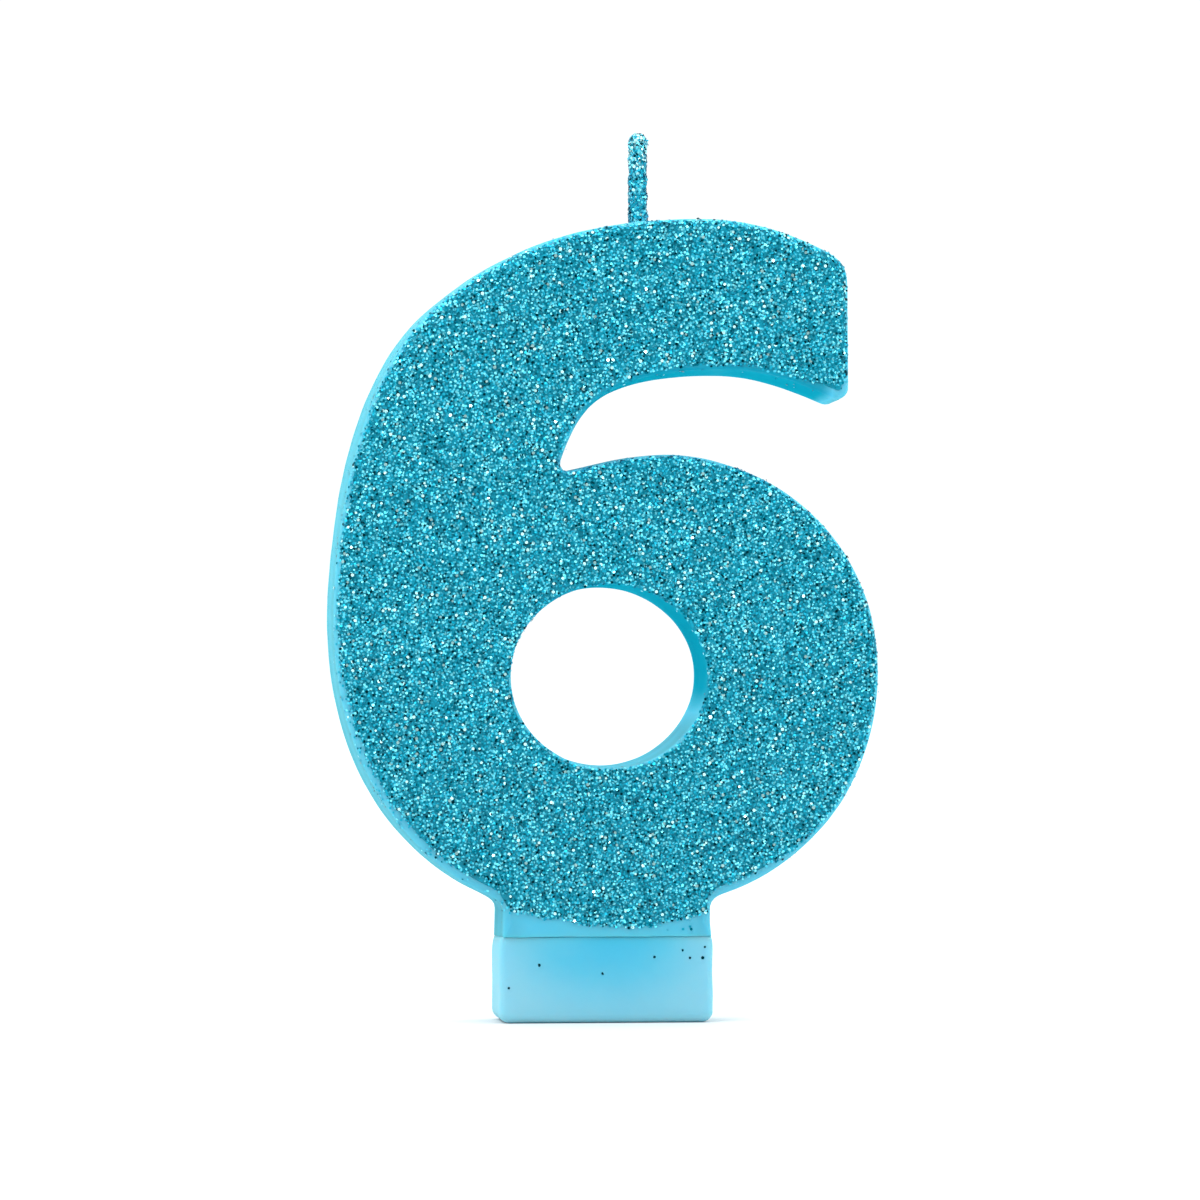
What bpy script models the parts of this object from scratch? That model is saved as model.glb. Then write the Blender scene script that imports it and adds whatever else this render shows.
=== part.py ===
"""Number six birthday candle: a cast wax numeral on a wax foot, with a plaited wick and a glitter front.

Units are metres. +Z is up, the glitter front faces -Y, and the candle stands on its foot at z = 0 with the
middle of its overall box on the Z axis. Each separate piece is one object, parented to one empty.
"""

import math

import bmesh
import bpy
from mathutils import Vector
from mathutils.geometry import interpolate_bezier

MM = 0.001

# Driving dimensions.
OVERALL_HEIGHT = 82.5 * MM
WAX_DEPTH = 9.0 * MM
LAYER_GAP = 0.13 * MM
GLUE_THICKNESS = 0.12 * MM
GLITTER_THICKNESS = 0.25 * MM
PIECE_GAP = 0.3 * MM

# Depth positions: the wax and the two front layers together are centred on y = 0.
FRONT_STACK = LAYER_GAP + GLUE_THICKNESS + LAYER_GAP + GLITTER_THICKNESS
BACK_Y = (WAX_DEPTH + FRONT_STACK) / 2
WAX_FRONT_Y = BACK_Y - WAX_DEPTH
WAX_MID_Y = (BACK_Y + WAX_FRONT_Y) / 2

# Casting details of the numeral.
FRONT_EDGE_RADIUS = 0.9 * MM
HOLE_EDGE_RADIUS = 0.35 * MM
BACK_EDGE_RADIUS = 0.4 * MM
WALL_DRAFT = 0.2 * MM
EDGE_STEPS = 4
LAYER_WRAP = math.radians(45)
HOLE_LAYER_WRAP = math.radians(20)

# The counter, which is the hole through the bowl of the numeral.
HOLE_CENTRE = (0.1 * MM, 32.0 * MM)
HOLE_HALF_WIDTH = 8.8 * MM
HOLE_HALF_HEIGHT = 8.25 * MM
HOLE_STEPS = 44

# The neck, the foot under it, and the tongue that keys them together.
NECK_LEFT = -9.85 * MM
NECK_RIGHT = 9.8 * MM
FOOT_LEFT = -10.05 * MM
FOOT_RIGHT = 9.8 * MM
FOOT_HEIGHT = 7.6 * MM
FOOT_DEPTH = 8.7 * MM
FOOT_BOTTOM_RADIUS = 1.1 * MM
FOOT_TOP_RADIUS = 0.5 * MM
FOOT_EDGE_RADIUS = 0.55 * MM
NECK_BOTTOM = FOOT_HEIGHT + PIECE_GAP
LAYER_BOTTOM = 8.1 * MM
TONGUE_WIDTH = 11.0 * MM
TONGUE_DEPTH = 3.0 * MM
TONGUE_LENGTH = 2.6 * MM
TONGUE_ROOT = 1.5 * MM

# The wick: three strands plaited flat, held in a blind hole in the arm and dipped in wax above it.
WICK_X = 3.25 * MM
WICK_HOLE_RADIUS = 0.85 * MM
WICK_HOLE_BOTTOM = 62.4 * MM
WICK_HOLE_TOP = 76.0 * MM
STRAND_COUNT = 3
STRAND_RADIUS = 0.19 * MM
STRAND_BOTTOM = WICK_HOLE_BOTTOM + PIECE_GAP
STRAND_TOP = 81.6 * MM
PLAIT_HALF_WIDTH = 0.45 * MM
PLAIT_HALF_DEPTH = 0.3 * MM
PLAIT_PITCH = 5.0 * MM
STEPS_PER_PITCH = 13
COAT_BOTTOM = 74.9 * MM
WAX_COAT_INNER_RADIUS = 0.72 * MM
WAX_COAT_THICKNESS = 0.1 * MM
COAT_GAP = 0.06 * MM
GLITTER_COAT_THICKNESS = 0.12 * MM
COAT_SIDES = 20
DOME_STEPS = 5

SMOOTH_ANGLE = math.radians(40)

# The outline of the numeral, clockwise from the left of the neck. Each curve is (end point, direction at
# the start, handle at the start, direction at the end, handle at the end, steps), in mm and degrees.
NECK_START = (-9.85, 10.4)
OUTLINE_CURVES = [
    ((-10.7, 11.4), 90, 0.5, 150, 0.5, 3),  # tight corner from the neck into the bowl
    ((-12.6, 12.5), 150, 0.7, 151, 0.7, 1),  # bottom of the bowl, left
    ((-25.3, 37.0), 151, 10.1, 90, 9.6, 13),  # lower left of the bowl, to its widest point
    ((-16.1, 65.9), 90, 9.4, 41.5, 9.4, 12),  # left side of the stem
    ((9.1, 74.6), 41.5, 9.6, 0, 10.0, 12),  # shoulder, to the highest point
    ((19.4, 72.2), 0, 3.5, -25, 3.5, 5),  # top of the arm
    ((22.5, 68.0), -25, 3.2, -90, 2.2, 5),  # outer corner of the arm's end
    ((22.5, 59.2), -90, 3.0, -90, 3.0, 2),  # end of the arm
    ((21.0, 57.7), -90, 1.0, 160, 0.9, 5),  # lower corner of the arm's end
    ((10.9, 60.2), 160, 3.5, 180, 3.8, 6),  # underside of the arm
    ((-4.1, 52.0), 180, 12.4, -112, 4.0, 13),  # underside of the arm, down to the notch
    ((-3.4, 51.2), -112, 0.7, 12, 0.6, 5),  # notch between the stem and the bowl
    ((5.2, 52.7), 12, 2.8, 0, 2.8, 5),  # top of the bowl, left part
    ((25.3, 32.4), 0, 10.3, -90, 11.9, 15),  # right shoulder of the bowl, to its widest point
    ((12.3, 12.3), -90, 8.5, -158, 9.3, 13),  # lower right of the bowl
    ((10.6, 11.6), -158, 0.6, -157, 0.6, 1),  # bottom of the bowl, right
    ((9.8, 10.6), -157, 0.45, -90, 0.5, 3),  # tight corner from the bowl into the neck
]

# Colours are linear RGB.
WAX_BLUE = (0.17, 0.62, 0.84)
GLUE_CLEAR_BLUE = (0.05, 0.50, 0.68)
GLITTER_BLUE = (0.03, 0.38, 0.50)
WICK_COTTON = (0.72, 0.78, 0.76)
WICK_GLITTER = (0.10, 0.48, 0.60)


def clear_scene():
    """Removes every object from the scene."""
    for item in list(bpy.data.objects):
        bpy.data.objects.remove(item, do_unlink=True)


def principled(name, colour, roughness, metallic=0.0):
    """A material with one Principled BSDF."""
    made = bpy.data.materials.new(name)
    made.use_nodes = True
    shader = made.node_tree.nodes["Principled BSDF"]
    shader.inputs["Base Color"].default_value = (*colour, 1.0)
    shader.inputs["Roughness"].default_value = roughness
    shader.inputs["Metallic"].default_value = metallic
    made.diffuse_color = (*colour, 1.0)
    return made


def mesh_object(name, bm, finish, parent):
    """Turns a bmesh into a smooth-shaded object with outward normals."""
    bmesh.ops.recalc_face_normals(bm, faces=bm.faces)
    mesh = bpy.data.meshes.new(name)
    bm.to_mesh(mesh)
    bm.free()
    mesh.shade_smooth()
    mesh.set_sharp_from_angle(angle=SMOOTH_ANGLE)
    mesh.materials.append(finish)
    return place(bpy.data.objects.new(name, mesh), parent)


def place(item, parent):
    """Links an object to the scene under its parent."""
    bpy.context.scene.collection.objects.link(item)
    item.parent = parent
    return item


def boolean(target, cutter, operation):
    """Adds an exact Boolean and hides the cutter."""
    cutter.hide_render = True
    cutter.display_type = "WIRE"
    modifier = target.modifiers.new(operation.lower(), "BOOLEAN")
    modifier.operation = operation
    modifier.solver = "EXACT"
    modifier.object = cutter


def handle(point, degrees, length):
    """A Bezier handle at a distance from a point, in a direction."""
    angle = math.radians(degrees)
    return Vector((point[0] + length * math.cos(angle), point[1] + length * math.sin(angle)))


def numeral_outline(bottom):
    """The outline of the numeral as points (x, z), clockwise seen from the front, cut off at bottom."""
    points = [(NECK_LEFT, bottom)]
    start = Vector(NECK_START)
    for end, start_degrees, start_length, end_degrees, end_length, steps in OUTLINE_CURVES:
        end = Vector(end)
        leave = handle(start, start_degrees, start_length)
        arrive = handle(end, end_degrees, -end_length)
        curve = interpolate_bezier(start, leave, arrive, end, steps + 1)
        points += [(p.x * MM, p.y * MM) for p in curve[:-1]]
        start = end
    points.append((start.x * MM, start.y * MM))
    points.append((NECK_RIGHT, bottom))
    return [p for p in points if p[1] >= bottom]


def hole_outline():
    """The counter of the numeral as points (x, z), anticlockwise seen from the front."""
    turns = [2 * math.pi * step / HOLE_STEPS for step in range(HOLE_STEPS)]
    return [
        (
            HOLE_CENTRE[0] + HOLE_HALF_WIDTH * math.cos(turn),
            HOLE_CENTRE[1] + HOLE_HALF_HEIGHT * math.sin(turn),
        )
        for turn in turns
    ]


def corner_arc(centre_x, centre_z, radius, first_degrees):
    """A quarter turn, clockwise from a direction, as points (x, z)."""
    turns = [math.radians(first_degrees - 90 * step / EDGE_STEPS) for step in range(EDGE_STEPS + 1)]
    return [(centre_x + radius * math.cos(turn), centre_z + radius * math.sin(turn)) for turn in turns]


def foot_outline():
    """The front view of the foot as points (x, z), clockwise, with four rounded corners."""
    low, high = FOOT_BOTTOM_RADIUS, FOOT_TOP_RADIUS
    return (
        corner_arc(FOOT_LEFT + low, low, low, 270)
        + corner_arc(FOOT_LEFT + high, FOOT_HEIGHT - high, high, 180)
        + corner_arc(FOOT_RIGHT - high, FOOT_HEIGHT - high, high, 90)
        + corner_arc(FOOT_RIGHT - low, low, low, 0)
    )


def moved_in(outline, inset):
    """An outline moved into its material: to the right of its direction of travel, with mitred corners."""
    moved = []
    for index, point in enumerate(outline):
        here = Vector(point)
        before = (here - Vector(outline[index - 1])).normalized()
        after = (Vector(outline[(index + 1) % len(outline)]) - here).normalized()
        inward_before = Vector((before.y, -before.x))
        inward_after = Vector((after.y, -after.x))
        mitre = (inward_before + inward_after).normalized()
        moved.append(here + mitre * (inset / mitre.dot(inward_before)))
    return moved


def rounded_edge(front_y, radius, inset, sweep, steps, offset=0.0):
    """Stations (y, inset) round a front edge, from the flat front to the end of the sweep.

    The edge of the wax has the given radius and its wall stands at the given inset. A layer lies the given
    offset outside it.
    """
    centre_y = front_y + radius
    centre_inset = inset + radius
    reach = radius + offset
    turns = [sweep * step / steps for step in range(steps + 1)]
    return [(centre_y - reach * math.cos(turn), centre_inset - reach * math.sin(turn)) for turn in turns]


def rounded_back(back_y, radius, steps):
    """Stations (y, inset) round a back edge, from the wall to the flat back."""
    turns = [math.pi / 2 * step / steps for step in range(steps + 1)]
    return [(back_y - radius + radius * math.sin(t), radius - radius * math.cos(t)) for t in turns]


def ring_of_vertices(bm, outline, station):
    """One closed ring of vertices at a station (y, inset)."""
    y, inset = station
    return [bm.verts.new((x, y, z)) for x, z in moved_in(outline, inset)]


def bridge(bm, ring, next_ring):
    """Quads between two rings of the same length."""
    count = len(ring)
    for index in range(count):
        after = (index + 1) % count
        bm.faces.new((ring[index], ring[after], next_ring[after], next_ring[index]))


def ring_edges(bm, ring):
    """The edges along a ring that is already bridged."""
    return [bm.edges.get((vert, ring[index - 1])) for index, vert in enumerate(ring)]


def lofted(loops):
    """A closed solid swept through stations.

    Each loop is (outline, stations). All first rings together bound one flat cap, and so do the last ones.
    """
    bm = bmesh.new()
    first_edges = []
    last_edges = []
    for outline, stations in loops:
        rings = [ring_of_vertices(bm, outline, station) for station in stations]
        for ring, next_ring in zip(rings, rings[1:]):
            bridge(bm, ring, next_ring)
        first_edges += ring_edges(bm, rings[0])
        last_edges += ring_edges(bm, rings[-1])
    bmesh.ops.triangle_fill(bm, use_beauty=True, edges=first_edges)
    bmesh.ops.triangle_fill(bm, use_beauty=True, edges=last_edges)
    return bm


def turned(profile, centre_x, centre_y, sides):
    """A closed solid turned about a vertical axis, from a profile of (radius, z) that starts and ends on it."""
    bm = bmesh.new()
    rings = []
    for radius, z in profile:
        if radius == 0:
            rings.append([bm.verts.new((centre_x, centre_y, z))] * sides)
            continue
        ring = []
        for step in range(sides):
            turn = 2 * math.pi * step / sides
            x = centre_x + radius * math.cos(turn)
            y = centre_y + radius * math.sin(turn)
            ring.append(bm.verts.new((x, y, z)))
        rings.append(ring)
    for ring, next_ring in zip(rings, rings[1:]):
        for index in range(sides):
            corners = (ring[index - 1], ring[index], next_ring[index], next_ring[index - 1])
            bm.faces.new(list(dict.fromkeys(corners)))
    return bm


def box(name, low, high, parent):
    """A plain box between two corners, used to cut or to join."""
    bm = bmesh.new()
    bmesh.ops.create_cube(bm, size=1.0)
    for vert in bm.verts:
        for axis in range(3):
            vert.co[axis] = low[axis] if vert.co[axis] < 0 else high[axis]
    mesh = bpy.data.meshes.new(name)
    bm.to_mesh(mesh)
    bm.free()
    return place(bpy.data.objects.new(name, mesh), parent)


def tongue_box(name, clearance, top, parent):
    """The tongue under the neck, or the slot for it when given a clearance."""
    middle = (NECK_LEFT + NECK_RIGHT) / 2
    half_width = TONGUE_WIDTH / 2 + clearance
    half_depth = TONGUE_DEPTH / 2 + clearance
    bottom = NECK_BOTTOM - TONGUE_LENGTH - clearance
    low = (middle - half_width, WAX_MID_Y - half_depth, bottom)
    high = (middle + half_width, WAX_MID_Y + half_depth, top)
    return box(name, low, high, parent)


def build_numeral(finish, parent):
    """The cast numeral, with its tongue below and the blind hole for the wick in its arm."""
    front = rounded_edge(WAX_FRONT_Y, FRONT_EDGE_RADIUS, WALL_DRAFT, math.pi / 2, EDGE_STEPS)
    back = rounded_back(BACK_Y, BACK_EDGE_RADIUS, 2)
    hole_front = rounded_edge(WAX_FRONT_Y, HOLE_EDGE_RADIUS, WALL_DRAFT, math.pi / 2, 2)
    bm = lofted([(numeral_outline(NECK_BOTTOM), front + back), (hole_outline(), hole_front + back)])
    numeral = mesh_object("wax_numeral", bm, finish, parent)
    tongue = tongue_box("tongue_shape", 0.0, NECK_BOTTOM + TONGUE_ROOT, parent)
    boolean(numeral, tongue, "UNION")
    wick_hole_profile = [
        (0, WICK_HOLE_BOTTOM),
        (WICK_HOLE_RADIUS, WICK_HOLE_BOTTOM),
        (WICK_HOLE_RADIUS, WICK_HOLE_TOP),
        (0, WICK_HOLE_TOP),
    ]
    wick_hole = mesh_object(
        "wick_hole_cutter", turned(wick_hole_profile, WICK_X, WAX_MID_Y, COAT_SIDES), finish, parent
    )
    boolean(numeral, wick_hole, "DIFFERENCE")


def build_foot(finish, parent):
    """The foot, set back from the front of the numeral, with the slot for its tongue."""
    front_y = WAX_MID_Y - FOOT_DEPTH / 2
    back_y = WAX_MID_Y + FOOT_DEPTH / 2
    front = rounded_edge(front_y, FOOT_EDGE_RADIUS, 0.0, math.pi / 2, EDGE_STEPS)
    back = rounded_back(back_y, FOOT_EDGE_RADIUS, EDGE_STEPS)
    foot = mesh_object("wax_foot", lofted([(foot_outline(), front + back)]), finish, parent)
    slot = tongue_box("slot_cutter", PIECE_GAP, FOOT_HEIGHT + PIECE_GAP, parent)
    boolean(foot, slot, "DIFFERENCE")


def build_front_layer(name, offset, thickness, finish, parent):
    """A thin layer over the front of the numeral that follows its rounded edges."""
    loops = []
    for outline, radius, sweep, steps in (
        (numeral_outline(LAYER_BOTTOM), FRONT_EDGE_RADIUS, LAYER_WRAP, 2),
        (hole_outline(), HOLE_EDGE_RADIUS, HOLE_LAYER_WRAP, 1),
    ):
        edge = (WAX_FRONT_Y, radius, WALL_DRAFT, sweep, steps)
        outside = rounded_edge(*edge, offset=offset + thickness)
        inside = rounded_edge(*edge, offset=offset)
        loops.append((outline, outside + inside[::-1]))
    mesh_object(name, lofted(loops), finish, parent)


def plait_point(strand, z):
    """A point on the centre line of one strand of a three-strand flat plait."""
    phase = 2 * math.pi * (z / PLAIT_PITCH + strand / STRAND_COUNT)
    return (
        WICK_X + PLAIT_HALF_WIDTH * math.sin(phase),
        WAX_MID_Y + PLAIT_HALF_DEPTH * math.sin(2 * phase),
        z,
    )


def build_strand(strand, finish, parent):
    """One cotton strand of the wick, as a tube along its path through the plait."""
    name = f"wick_strand_{strand + 1}"
    curve = bpy.data.curves.new(name, "CURVE")
    curve.dimensions = "3D"
    curve.bevel_depth = STRAND_RADIUS
    curve.bevel_resolution = 1
    curve.use_fill_caps = True
    steps = round((STRAND_TOP - STRAND_BOTTOM) / PLAIT_PITCH * STEPS_PER_PITCH)
    spline = curve.splines.new("POLY")
    spline.points.add(steps)
    for step, point in enumerate(spline.points):
        z = STRAND_BOTTOM + (STRAND_TOP - STRAND_BOTTOM) * step / steps
        point.co = (*plait_point(strand, z), 1.0)
    spline.use_smooth = True
    curve.materials.append(finish)
    place(bpy.data.objects.new(name, curve), parent)


def cap_profile(radius, top):
    """A straight side with a round top, as (radius, z) from the bottom of the coat to the axis."""
    turns = [math.pi / 2 * step / DOME_STEPS for step in range(DOME_STEPS)]
    dome = [(radius * math.cos(turn), top - radius + radius * math.sin(turn)) for turn in turns]
    return [(radius, COAT_BOTTOM), *dome, (0, top)]


def build_wick_coat(name, inner_radius, thickness, top, finish, parent):
    """A sleeve over the exposed wick, closed over its tip and open at its foot."""
    inside = cap_profile(inner_radius, top - thickness)
    outside = cap_profile(inner_radius + thickness, top)
    bm = turned(inside[::-1] + outside, WICK_X, WAX_MID_Y, COAT_SIDES)
    mesh_object(name, bm, finish, parent)


def build_candle():
    """Builds every piece of the candle under one empty."""
    clear_scene()
    candle = bpy.data.objects.new("candle", None)
    bpy.context.scene.collection.objects.link(candle)

    wax = principled("wax", WAX_BLUE, 0.35)
    glue = principled("glue", GLUE_CLEAR_BLUE, 0.2)
    glitter = principled("glitter", GLITTER_BLUE, 0.3, 0.6)
    cotton = principled("cotton", WICK_COTTON, 0.9)
    wick_glitter = principled("wick_glitter", WICK_GLITTER, 0.3, 0.6)

    build_numeral(wax, candle)
    build_foot(wax, candle)
    build_front_layer("glue_film", LAYER_GAP, GLUE_THICKNESS, glue, candle)
    glitter_offset = 2 * LAYER_GAP + GLUE_THICKNESS
    build_front_layer("glitter_layer", glitter_offset, GLITTER_THICKNESS, glitter, candle)
    for strand in range(STRAND_COUNT):
        build_strand(strand, cotton, candle)
    glitter_coat_radius = WAX_COAT_INNER_RADIUS + WAX_COAT_THICKNESS + COAT_GAP
    wax_coat_top = OVERALL_HEIGHT - GLITTER_COAT_THICKNESS - COAT_GAP
    build_wick_coat("wick_wax_coat", WAX_COAT_INNER_RADIUS, WAX_COAT_THICKNESS, wax_coat_top, wax, candle)
    build_wick_coat(
        "wick_glitter_coat",
        glitter_coat_radius,
        GLITTER_COAT_THICKNESS,
        OVERALL_HEIGHT,
        wick_glitter,
        candle,
    )


build_candle()
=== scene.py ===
"""Looks of the number six birthday candle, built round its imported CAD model.

The wax numeral and its foot are cast wax with softly rounded edges. A film of glue and thousands of separate
hexagonal glitter flakes cover the front, and a plaited wick with its own wax and glitter stands in the arm.
Lengths are metres unless a name says millimetres.
"""

import logging
import math
from dataclasses import dataclass, field
from enum import Enum
from typing import Callable

import bmesh
import bpy
import numpy as np
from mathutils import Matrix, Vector
from mathutils.geometry import delaunay_2d_cdt, interpolate_bezier
from mathutils.kdtree import KDTree


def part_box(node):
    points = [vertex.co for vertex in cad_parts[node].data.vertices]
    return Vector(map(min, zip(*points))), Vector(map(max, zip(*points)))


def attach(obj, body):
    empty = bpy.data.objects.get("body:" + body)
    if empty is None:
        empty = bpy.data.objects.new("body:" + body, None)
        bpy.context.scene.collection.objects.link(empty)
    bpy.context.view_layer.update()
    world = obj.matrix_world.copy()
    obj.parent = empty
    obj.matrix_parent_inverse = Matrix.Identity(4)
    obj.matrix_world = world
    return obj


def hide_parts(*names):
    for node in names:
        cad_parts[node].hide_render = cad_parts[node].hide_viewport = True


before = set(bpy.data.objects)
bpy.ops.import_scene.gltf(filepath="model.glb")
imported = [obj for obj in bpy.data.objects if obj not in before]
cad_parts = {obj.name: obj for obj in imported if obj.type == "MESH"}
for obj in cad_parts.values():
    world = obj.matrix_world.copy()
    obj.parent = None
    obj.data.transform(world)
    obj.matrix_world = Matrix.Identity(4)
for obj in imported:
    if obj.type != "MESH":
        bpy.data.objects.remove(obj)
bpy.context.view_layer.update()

LOG = logging.getLogger("candle")
MM = 0.001
ROOT_BODY = "root"
# The rows of a triangular grid lie this share of its spacing apart.
ROW_SHARE = 0.866
# Steps along rows and columns that spread draws between 0 and 1 evenly over a grid.
EVEN_STEPS = (0.7548777, 0.5698403)
Array = np.ndarray
Node = bpy.types.Node
Material = bpy.types.Material
Piece = bpy.types.Object
Socket = bpy.types.NodeSocket
Triangles = list[tuple[int, ...]]
Span = tuple[float, float]
PointRule = Callable[[Array], Array]


# ------------------------------------------------------------------------------
# Small shared tools
# ------------------------------------------------------------------------------


def smoothstep(low: float, high: float, value: Array) -> Array:
    """Rises smoothly from 0 at low to 1 at high.

    Args:
        low: where the rise starts.
        high: where it ends.
        value: the numbers to map.

    Returns:
        The mapped numbers.
    """
    t = np.clip((np.asarray(value, float) - low) / (high - low), 0.0, 1.0)
    return t * t * (3.0 - 2.0 * t)


def unit(vectors: Array) -> Array:
    """Scales each row to length one."""
    return vectors / np.maximum(np.linalg.norm(vectors, axis=-1, keepdims=True), 1e-12)


@dataclass(frozen=True)
class SoftNoise:
    """A smooth wavy field, the sum of a few sine waves in fixed random directions."""

    wavelength: float
    seed: int
    waves: int = 9

    def at(self, points: Array) -> Array:
        """Samples the field.

        Args:
            points: positions, one per row.

        Returns:
            One number per row, mostly between -1 and 1.
        """
        rng = np.random.default_rng(self.seed)
        total = np.zeros(len(points))
        for _ in range(self.waves):
            direction = unit(rng.normal(size=points.shape[1]))
            stretch = rng.uniform(0.6, 1.6)
            phase = rng.uniform(0.0, 2.0 * math.pi)
            total += np.sin(points @ direction * (2.0 * math.pi * stretch / self.wavelength) + phase)
        return total / math.sqrt(self.waves)


def new_mesh_object(
    name: str, verts: Array, faces: Triangles, materials: list[Material], smooth: bool
) -> Piece:
    """Makes a mesh object at the origin.

    Args:
        name: the piece's name.
        verts: positions, one per row.
        faces: vertex indices of each face.
        materials: one per slot.
        smooth: whether faces are shaded smooth.

    Returns:
        The new object, linked to the scene.
    """
    mesh = bpy.data.meshes.new(name)
    mesh.from_pydata([tuple(v) for v in verts], [], faces)
    mesh.validate()
    if smooth:
        mesh.shade_smooth()
    for material in materials:
        mesh.materials.append(material)
    made = bpy.data.objects.new(name, mesh)
    bpy.context.scene.collection.objects.link(made)
    return made


def face_outwards(piece: Piece) -> None:
    """Turns every face of a closed mesh to point out.

    Args:
        piece: the mesh to change.
    """
    bm = bmesh.new()
    bm.from_mesh(piece.data)
    bmesh.ops.recalc_face_normals(bm, faces=bm.faces)
    bm.to_mesh(piece.data)
    bm.free()


def store_mask(piece: Piece, name: str, values: Array) -> None:
    """Stores one number per vertex under a name that materials can read."""
    layer = piece.data.attributes.new(name, "FLOAT", "POINT")
    layer.data.foreach_set("value", np.asarray(values, np.float32))


def vertex_positions(piece: Piece) -> Array:
    """Reads the positions of a mesh's vertices.

    Args:
        piece: the mesh to read.

    Returns:
        One position per row.
    """
    flat = np.zeros(len(piece.data.vertices) * 3)
    piece.data.vertices.foreach_get("co", flat)
    return flat.reshape(-1, 3)


def settle(piece: Piece, slot: str, *replaced: str) -> Piece:
    """Puts a finished piece on the candle's one body.

    Args:
        piece: the piece.
        slot: not used.
        replaced: names of the CAD nodes that it stands for.

    Returns:
        The same piece.
    """
    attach(piece, ROOT_BODY)
    if replaced:
        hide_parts(*replaced)
    LOG.info("%s: %d faces", piece.name, len(piece.data.polygons))
    return piece


# ------------------------------------------------------------------------------
# Shader node groups, each built once
# ------------------------------------------------------------------------------


class ShaderGroup:
    """A shader node group with named sockets, and short calls to fill it."""

    def __init__(self, name: str, inputs: dict[str, float], outputs: list[str]) -> None:
        """Makes the group with float inputs and outputs.

        Args:
            name: the group's name.
            inputs: the name and default of each input.
            outputs: the name of each output.
        """
        self.tree = bpy.data.node_groups.new(name, "ShaderNodeTree")
        for label, value in inputs.items():
            socket = self.tree.interface.new_socket(label, in_out="INPUT", socket_type="NodeSocketFloat")
            socket.default_value = value
        for label in outputs:
            self.tree.interface.new_socket(label, in_out="OUTPUT", socket_type="NodeSocketFloat")
        self.source = self.tree.nodes.new("NodeGroupInput")
        self.result = self.tree.nodes.new("NodeGroupOutput")

    def node(self, kind: str, **settings: object) -> Node:
        """Adds a node and sets its properties.

        Args:
            kind: the node's type.
            settings: properties and their values.

        Returns:
            The node.
        """
        made = self.tree.nodes.new(kind)
        for label, value in settings.items():
            setattr(made, label, value)
        return made

    def link(self, output: Socket, target: Socket) -> None:
        """Joins two sockets."""
        self.tree.links.new(output, target)

    def math(self, operation: str, first: object, second: object) -> Socket:
        """Adds a Math node.

        Args:
            operation: the node's operation.
            first: a socket or a number.
            second: a socket or a number.

        Returns:
            The node's output.
        """
        made = self.node("ShaderNodeMath", operation=operation)
        for place, value in enumerate((first, second)):
            if isinstance(value, Socket):
                self.link(value, made.inputs[place])
            else:
                made.inputs[place].default_value = value
        return made.outputs[0]

    def noise(self, scale: object, detail: float, roughness: float = 0.5) -> Socket:
        """Adds a noise texture over object space.

        Args:
            scale: cycles per metre, as a socket or a number.
            detail: octaves.
            roughness: how strong the finer octaves are.

        Returns:
            The noise's factor.
        """
        place = self.node("ShaderNodeTexCoord")
        made = self.node("ShaderNodeTexNoise")
        self.link(place.outputs["Object"], made.inputs["Vector"])
        if isinstance(scale, Socket):
            self.link(scale, made.inputs["Scale"])
        else:
            made.inputs["Scale"].default_value = scale
        made.inputs["Detail"].default_value = detail
        made.inputs["Roughness"].default_value = roughness
        return made.outputs["Fac"]


class Effects:
    """The effects that more than one material uses."""

    def __init__(self) -> None:
        """Builds every group."""
        self.cloud = self.build_cloud()
        self.grain = self.build_grain()

    def build_cloud(self) -> bpy.types.NodeTree:
        """Soft cloudiness inside wax or glue: wide patches with a little finer mottling.

        Returns:
            The group.
        """
        inputs = {"Patch Scale": 120.0, "Contrast": 1.0, "Depth": 0.5}
        group = ShaderGroup("wax cloud", inputs, ["Clouded Depth"])
        wide = group.noise(group.source.outputs["Patch Scale"], 2.0)
        fine_scale = group.math("MULTIPLY", group.source.outputs["Patch Scale"], 6.0)
        fine = group.noise(fine_scale, 3.0)
        both = group.math("ADD", group.math("MULTIPLY", wide, 0.75), group.math("MULTIPLY", fine, 0.25))
        centred = group.math("SUBTRACT", both, 0.5)
        spread = group.math("MULTIPLY", centred, group.source.outputs["Contrast"])
        total = group.math("ADD", spread, group.source.outputs["Depth"])
        low = group.math("MAXIMUM", total, 0.0)
        group.link(group.math("MINIMUM", low, 1.0), group.result.inputs["Clouded Depth"])
        return group.tree

    def build_grain(self) -> bpy.types.NodeTree:
        """Fine surface grain: a height for a bump, and the roughness that goes with it.

        Returns:
            The group.
        """
        inputs = {"Grain Scale": 2500.0, "Roughness Low": 0.3, "Roughness High": 0.5}
        group = ShaderGroup("surface grain", inputs, ["Height", "Roughness"])
        fine = group.noise(group.source.outputs["Grain Scale"], 4.0, 0.6)
        coarse_scale = group.math("MULTIPLY", group.source.outputs["Grain Scale"], 0.12)
        coarse = group.noise(coarse_scale, 2.0)
        height = group.math("ADD", group.math("MULTIPLY", fine, 0.4), group.math("MULTIPLY", coarse, 0.6))
        group.link(height, group.result.inputs["Height"])
        span = group.math(
            "SUBTRACT", group.source.outputs["Roughness High"], group.source.outputs["Roughness Low"]
        )
        mixed = group.math("ADD", group.math("MULTIPLY", coarse, 0.7), group.math("MULTIPLY", fine, 0.3))
        rough = group.math("ADD", group.math("MULTIPLY", mixed, span), group.source.outputs["Roughness Low"])
        group.link(rough, group.result.inputs["Roughness"])
        return group.tree


# ------------------------------------------------------------------------------
# Finishes
# ------------------------------------------------------------------------------

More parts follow.
